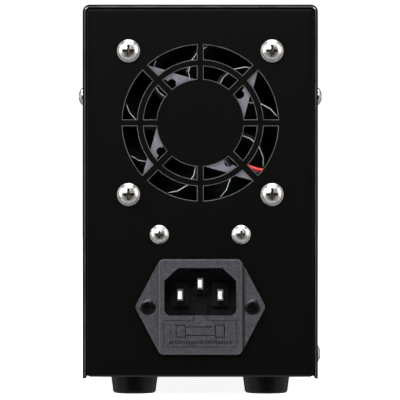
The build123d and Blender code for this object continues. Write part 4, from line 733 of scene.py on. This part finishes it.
# printing on the bezel: dial arcs, letters and signs
bm = bmesh.new()
PB, PF = FACE_Y + 0.02, FACE_Y - 0.05
for cx, letter in ((19.0, "V"), (-19.0, "A")):
    ribbon(bm, arc_points(cx, 73.0, 11.9, 218, -38, 40), 0.34, PB, PF)
    for angle, way in ((218, 1), (-38, -1)):
        tip = Vector((cx + 11.9 * math.cos(math.radians(angle)), 73.0 + 11.9 * math.sin(math.radians(angle))))
        outward = (tip - Vector((cx, 73.0))).normalized()
        forward = Vector((-outward.y, outward.x)) * way
        slab(bm, [tuple(tip + forward * 1.5), tuple(tip + outward * 0.75), tuple(tip - outward * 0.75)], PB, PF)
    for k in range(9):
        a = math.radians(196 - 212 * k / 8)
        inner = (cx + 12.5 * math.cos(a), 73.0 + 12.5 * math.sin(a))
        outer = (cx + 13.5 * math.cos(a), 73.0 + 13.5 * math.sin(a))
        ribbon(bm, [inner, outer], 0.32, PB, PF)
    ribbon(bm, [(cx + 11.0, 62.6), (cx + 13.2, 62.6)], 0.42, PB, PF)
    ribbon(bm, [(cx + 12.1, 61.5), (cx + 12.1, 62.38)], 0.42, PB, PF)
    ribbon(bm, [(cx + 12.1, 62.82), (cx + 12.1, 63.7)], 0.42, PB, PF)
    ribbon(bm, [(cx - 13.2, 62.6), (cx - 11.0, 62.6)], 0.42, PB, PF)
for cx, strokes in ((19.0, [[(-0.95, 1.15), (0, -1.15), (0.95, 1.15)]]),
                    (-19.0, [[(-0.95, -1.15), (0, 1.15), (0.95, -1.15)], [(-0.58, -0.32), (0.58, -0.32)]])):
    for s in strokes:
        ribbon(bm, [(cx + x, 88.1 + z) for x, z in s], 0.36, PB, PF)
# ring round the output button, with its sign: a socket being fed
ribbon(bm, arc_points(19.0, 50.0, 7.0, 0, 352.8, 49), 0.34, PB, PF, closed=True)
ribbon(bm, arc_points(30.6, 50.0, 1.7, 0, 348, 29), 0.36, PB, PF, closed=True)
ribbon(bm, [(27.3, 50.0), (28.72, 50.0)], 0.36, PB, PF)
# on and off signs beside the rocker
ribbon(bm, [(-30.6, 53.2), (-30.6, 56.8)], 0.5, PB, PF)
ribbon(bm, arc_points(-30.6, 45.0, 1.8, 0, 348, 29), 0.42, PB, PF, closed=True)
finish_mesh("bezel_printing", bm, "case", M["print"])

# signs over the output posts, in the shallow field
bm = bmesh.new()
QB, QF = FACE_Y + 0.52, FACE_Y + 0.45
ribbon(bm, [(-20.3, 34.2), (-17.7, 34.2)], 0.5, QB, QF)
ribbon(bm, [(17.7, 34.2), (20.3, 34.2)], 0.5, QB, QF)
ribbon(bm, [(19.0, 32.9), (19.0, 33.94)], 0.5, QB, QF)
ribbon(bm, [(19.0, 34.46), (19.0, 35.5)], 0.5, QB, QF)
ribbon(bm, [(0, 35.6), (0, 34.42)], 0.4, QB, QF)
for half, z in ((1.5, 34.2), (1.0, 33.5), (0.5, 32.8)):
    ribbon(bm, [(-half, z), (half, z)], 0.4, QB, QF)
finish_mesh("post_signs", bm, "case", M["print"])

# pale inlays in the pointer grooves of the two knobs
for body, cx in (("voltage_turn", 19.0), ("current_turn", -19.0)):
    bm = bmesh.new()
    shape = [(cx + 0.36 * math.cos(math.radians(a)), 76.96 + 0.36 * math.sin(math.radians(a))) for a in range(180, 361, 20)]
    shape += [(cx + 0.36 * math.cos(math.radians(a)), 80.24 + 0.36 * math.sin(math.radians(a))) for a in range(0, 181, 20)]
    slab(bm, shape, FACE_Y - 14.88, FACE_Y - 15.10)
    finish_mesh(body + "_pointer", bm, body, M["print"])

# raised rims along the rear edges of the fan's blades, in a pale finish: painted highlight standing for light caught on
# the black blade edges
BLADE = [(12.9, 5.1, 7.4, 1.5), (17.4, 6.2, 10.4, 1.3), (21.4, 5.6, 12.8, 1.15), (24.9, 3.2, 14.6, 1.0), (28.9, -2.5, 16.2, 0.9)]
BLADE_RUN = 16.8
FAN_MM_Z, FAN_MM_Y = FAN_CENTRE_Z / MM, FAN_BACK_Y / MM
bm = bmesh.new()
for number in range(9):
    a = math.radians(40 * number + 85)
    line = []
    for distance, start, width, thick in BLADE:
        slope = math.hypot(width, BLADE_RUN)
        push = 0.5 * thick
        line.append(Vector((distance, start - push * BLADE_RUN / slope, push * width / slope)))
    fine = []
    for i in range(len(line) - 1):
        for k in range(6):
            fine.append(line[i].lerp(line[i + 1], k / 6))
    fine.append(line[-1])
    fine = [q for q in fine if 15.15 < math.hypot(q.x, q.y) < 27.45]
    loops = []
    for i, q in enumerate(fine):
        ahead_q = fine[min(i + 1, len(fine) - 1)] - fine[max(i - 1, 0)]
        tangent = Vector((ahead_q.x, ahead_q.y, ahead_q.z)).normalized()
        out_axis = Vector((0, 0, 1))
        across_axis = tangent.cross(out_axis).normalized()
        out_axis = across_axis.cross(tangent).normalized()
        radius = 0.17 * (0.5 if i in (0, len(fine) - 1) else 1.0)
        loop = []
        for k in range(8):
            w = math.radians(45 * k + 22.5)
            s = q + across_axis * (radius * math.cos(w)) + out_axis * (radius * math.sin(w))
            # distance along the blade, across it, and towards the rear
            x = s.x * -math.cos(a) + s.y * math.sin(a)
            z = s.x * math.sin(a) + s.y * math.cos(a)
            loop.append(bm.verts.new((x * MM, (FAN_MM_Y - 3.9 + s.z) * MM, (FAN_MM_Z + z) * MM)))
        loops.append(loop)
    for one, two in zip(loops, loops[1:]):
        for k in range(8):
            bm.faces.new((one[k], one[(k + 1) % 8], two[(k + 1) % 8], two[k]))
    bm.faces.new(loops[0])
    bm.faces.new(list(reversed(loops[-1])))
rims = finish_mesh("fan_blade_rims", bm, "fan_impeller", M["rim"])
for poly in rims.data.polygons:
    poly.use_smooth = True


# ------------------------------------------------------------------ studio
def plane(name, size, location, rotation, material):
    bm = bmesh.new()
    bmesh.ops.create_grid(bm, x_segments=24, y_segments=24, size=0.5)
    me = bpy.data.meshes.new(name)
    bm.to_mesh(me)
    bm.free()
    ob = bpy.data.objects.new(name, me)
    ob.scale = (size[0], size[1], 1)
    ob.location = location
    ob.rotation_euler = rotation
    me.materials.append(material)
    scene.collection.objects.link(ob)
    return ob


floor_mat, ft, fb = new_material("studio_floor")
fb.inputs["Roughness"].default_value = 0.8
fb.inputs["Specular IOR Level"].default_value = 0.1
ft.links.new(ramp(ft, noise(ft, coords(ft), 3.0, 3.0), [(0.3, (0.86, 0.86, 0.86)), (0.7, (0.88, 0.88, 0.88))]),
             fb.inputs["Base Color"])
fb.inputs["Emission Color"].default_value = (1, 1, 1, 1)
fb.inputs["Emission Strength"].default_value = 0.90
floor = plane("studio_floor", (9, 9), (0, 0, 0), (0, 0, 0), floor_mat)
floor.visible_glossy = False

world = bpy.data.worlds.new("studio")
scene.world = world
world.use_nodes = True
wt = world.node_tree
for n in list(wt.nodes):
    wt.nodes.remove(n)
w_out = wt.nodes.new("ShaderNodeOutputWorld")
w_mix = wt.nodes.new("ShaderNodeMixShader")
w_seen = wt.nodes.new("ShaderNodeBackground")
w_light = wt.nodes.new("ShaderNodeBackground")
w_path = wt.nodes.new("ShaderNodeLightPath")
w_seen.inputs["Color"].default_value = (1, 1, 1, 1)
w_seen.inputs["Strength"].default_value = 1.05
wt.links.new(w_path.outputs["Is Camera Ray"], w_mix.inputs[0])
wt.links.new(w_light.outputs[0], w_mix.inputs[1])
wt.links.new(w_seen.outputs[0], w_mix.inputs[2])
wt.links.new(w_mix.outputs[0], w_out.inputs[0])
w_tc = wt.nodes.new("ShaderNodeTexCoord")
w_sep = wt.nodes.new("ShaderNodeSeparateXYZ")
wt.links.new(w_tc.outputs["Generated"], w_sep.inputs[0])
# a dark room straight in front of and behind the object, pale walls round it
ahead = math_node(wt, "ABSOLUTE", w_sep.outputs[1])
walls = span(wt, ahead, 0.75, 0.012, 0.52, 0.86)
w_light_strength = math_node(wt, "MAXIMUM", walls, 0.012)
wt.links.new(w_light_strength, w_light.inputs["Strength"])
w_light.inputs["Color"].default_value = (1, 1, 1, 1)


def softbox(name, size, location, target, power, colour=(1, 1, 1)):
    light = bpy.data.lights.new(name, "AREA")
    light.shape = "RECTANGLE"
    light.size, light.size_y = size
    light.energy = power
    light.color = colour
    ob = bpy.data.objects.new(name, light)
    ob.location = location
    ob.rotation_euler = (Vector(target) - Vector(location)).to_track_quat("-Z", "Y").to_euler()
    scene.collection.objects.link(ob)
    return ob


softbox("top_softbox", (0.9, 0.7), (0.0, 0.25, 1.1), (0, 0, 0.07), 9.0)
softbox("front_softbox", (1.2, 0.5), (0.38, 1.25, 0.82), (0, 0.11, 0.07), 12.0)
softbox("left_strip", (0.25, 1.0), (1.0, 0.55, 0.45), (0, 0.1, 0.07), 6.0)
softbox("right_strip", (0.25, 1.0), (-1.0, 0.55, 0.45), (0, 0.1, 0.07), 5.0)

# ------------------------------------------------------------------ camera
DISTANCE = 1.1
cam_data = bpy.data.cameras.new("camera")
cam_data.sensor_width = 36.0
cam_data.lens = 36.0 * DISTANCE / 0.13937
cam_data.clip_start = 0.01
cam_data.clip_end = 50
cam = bpy.data.objects.new("camera", cam_data)
cam.location = (0.0001, REAR_Y + DISTANCE, 0.0679)
cam.rotation_euler = (math.radians(90), 0, math.radians(180))
scene.collection.objects.link(cam)
scene.camera = cam
scene.view_settings.view_transform = "Standard"
scene.view_settings.look = "None"
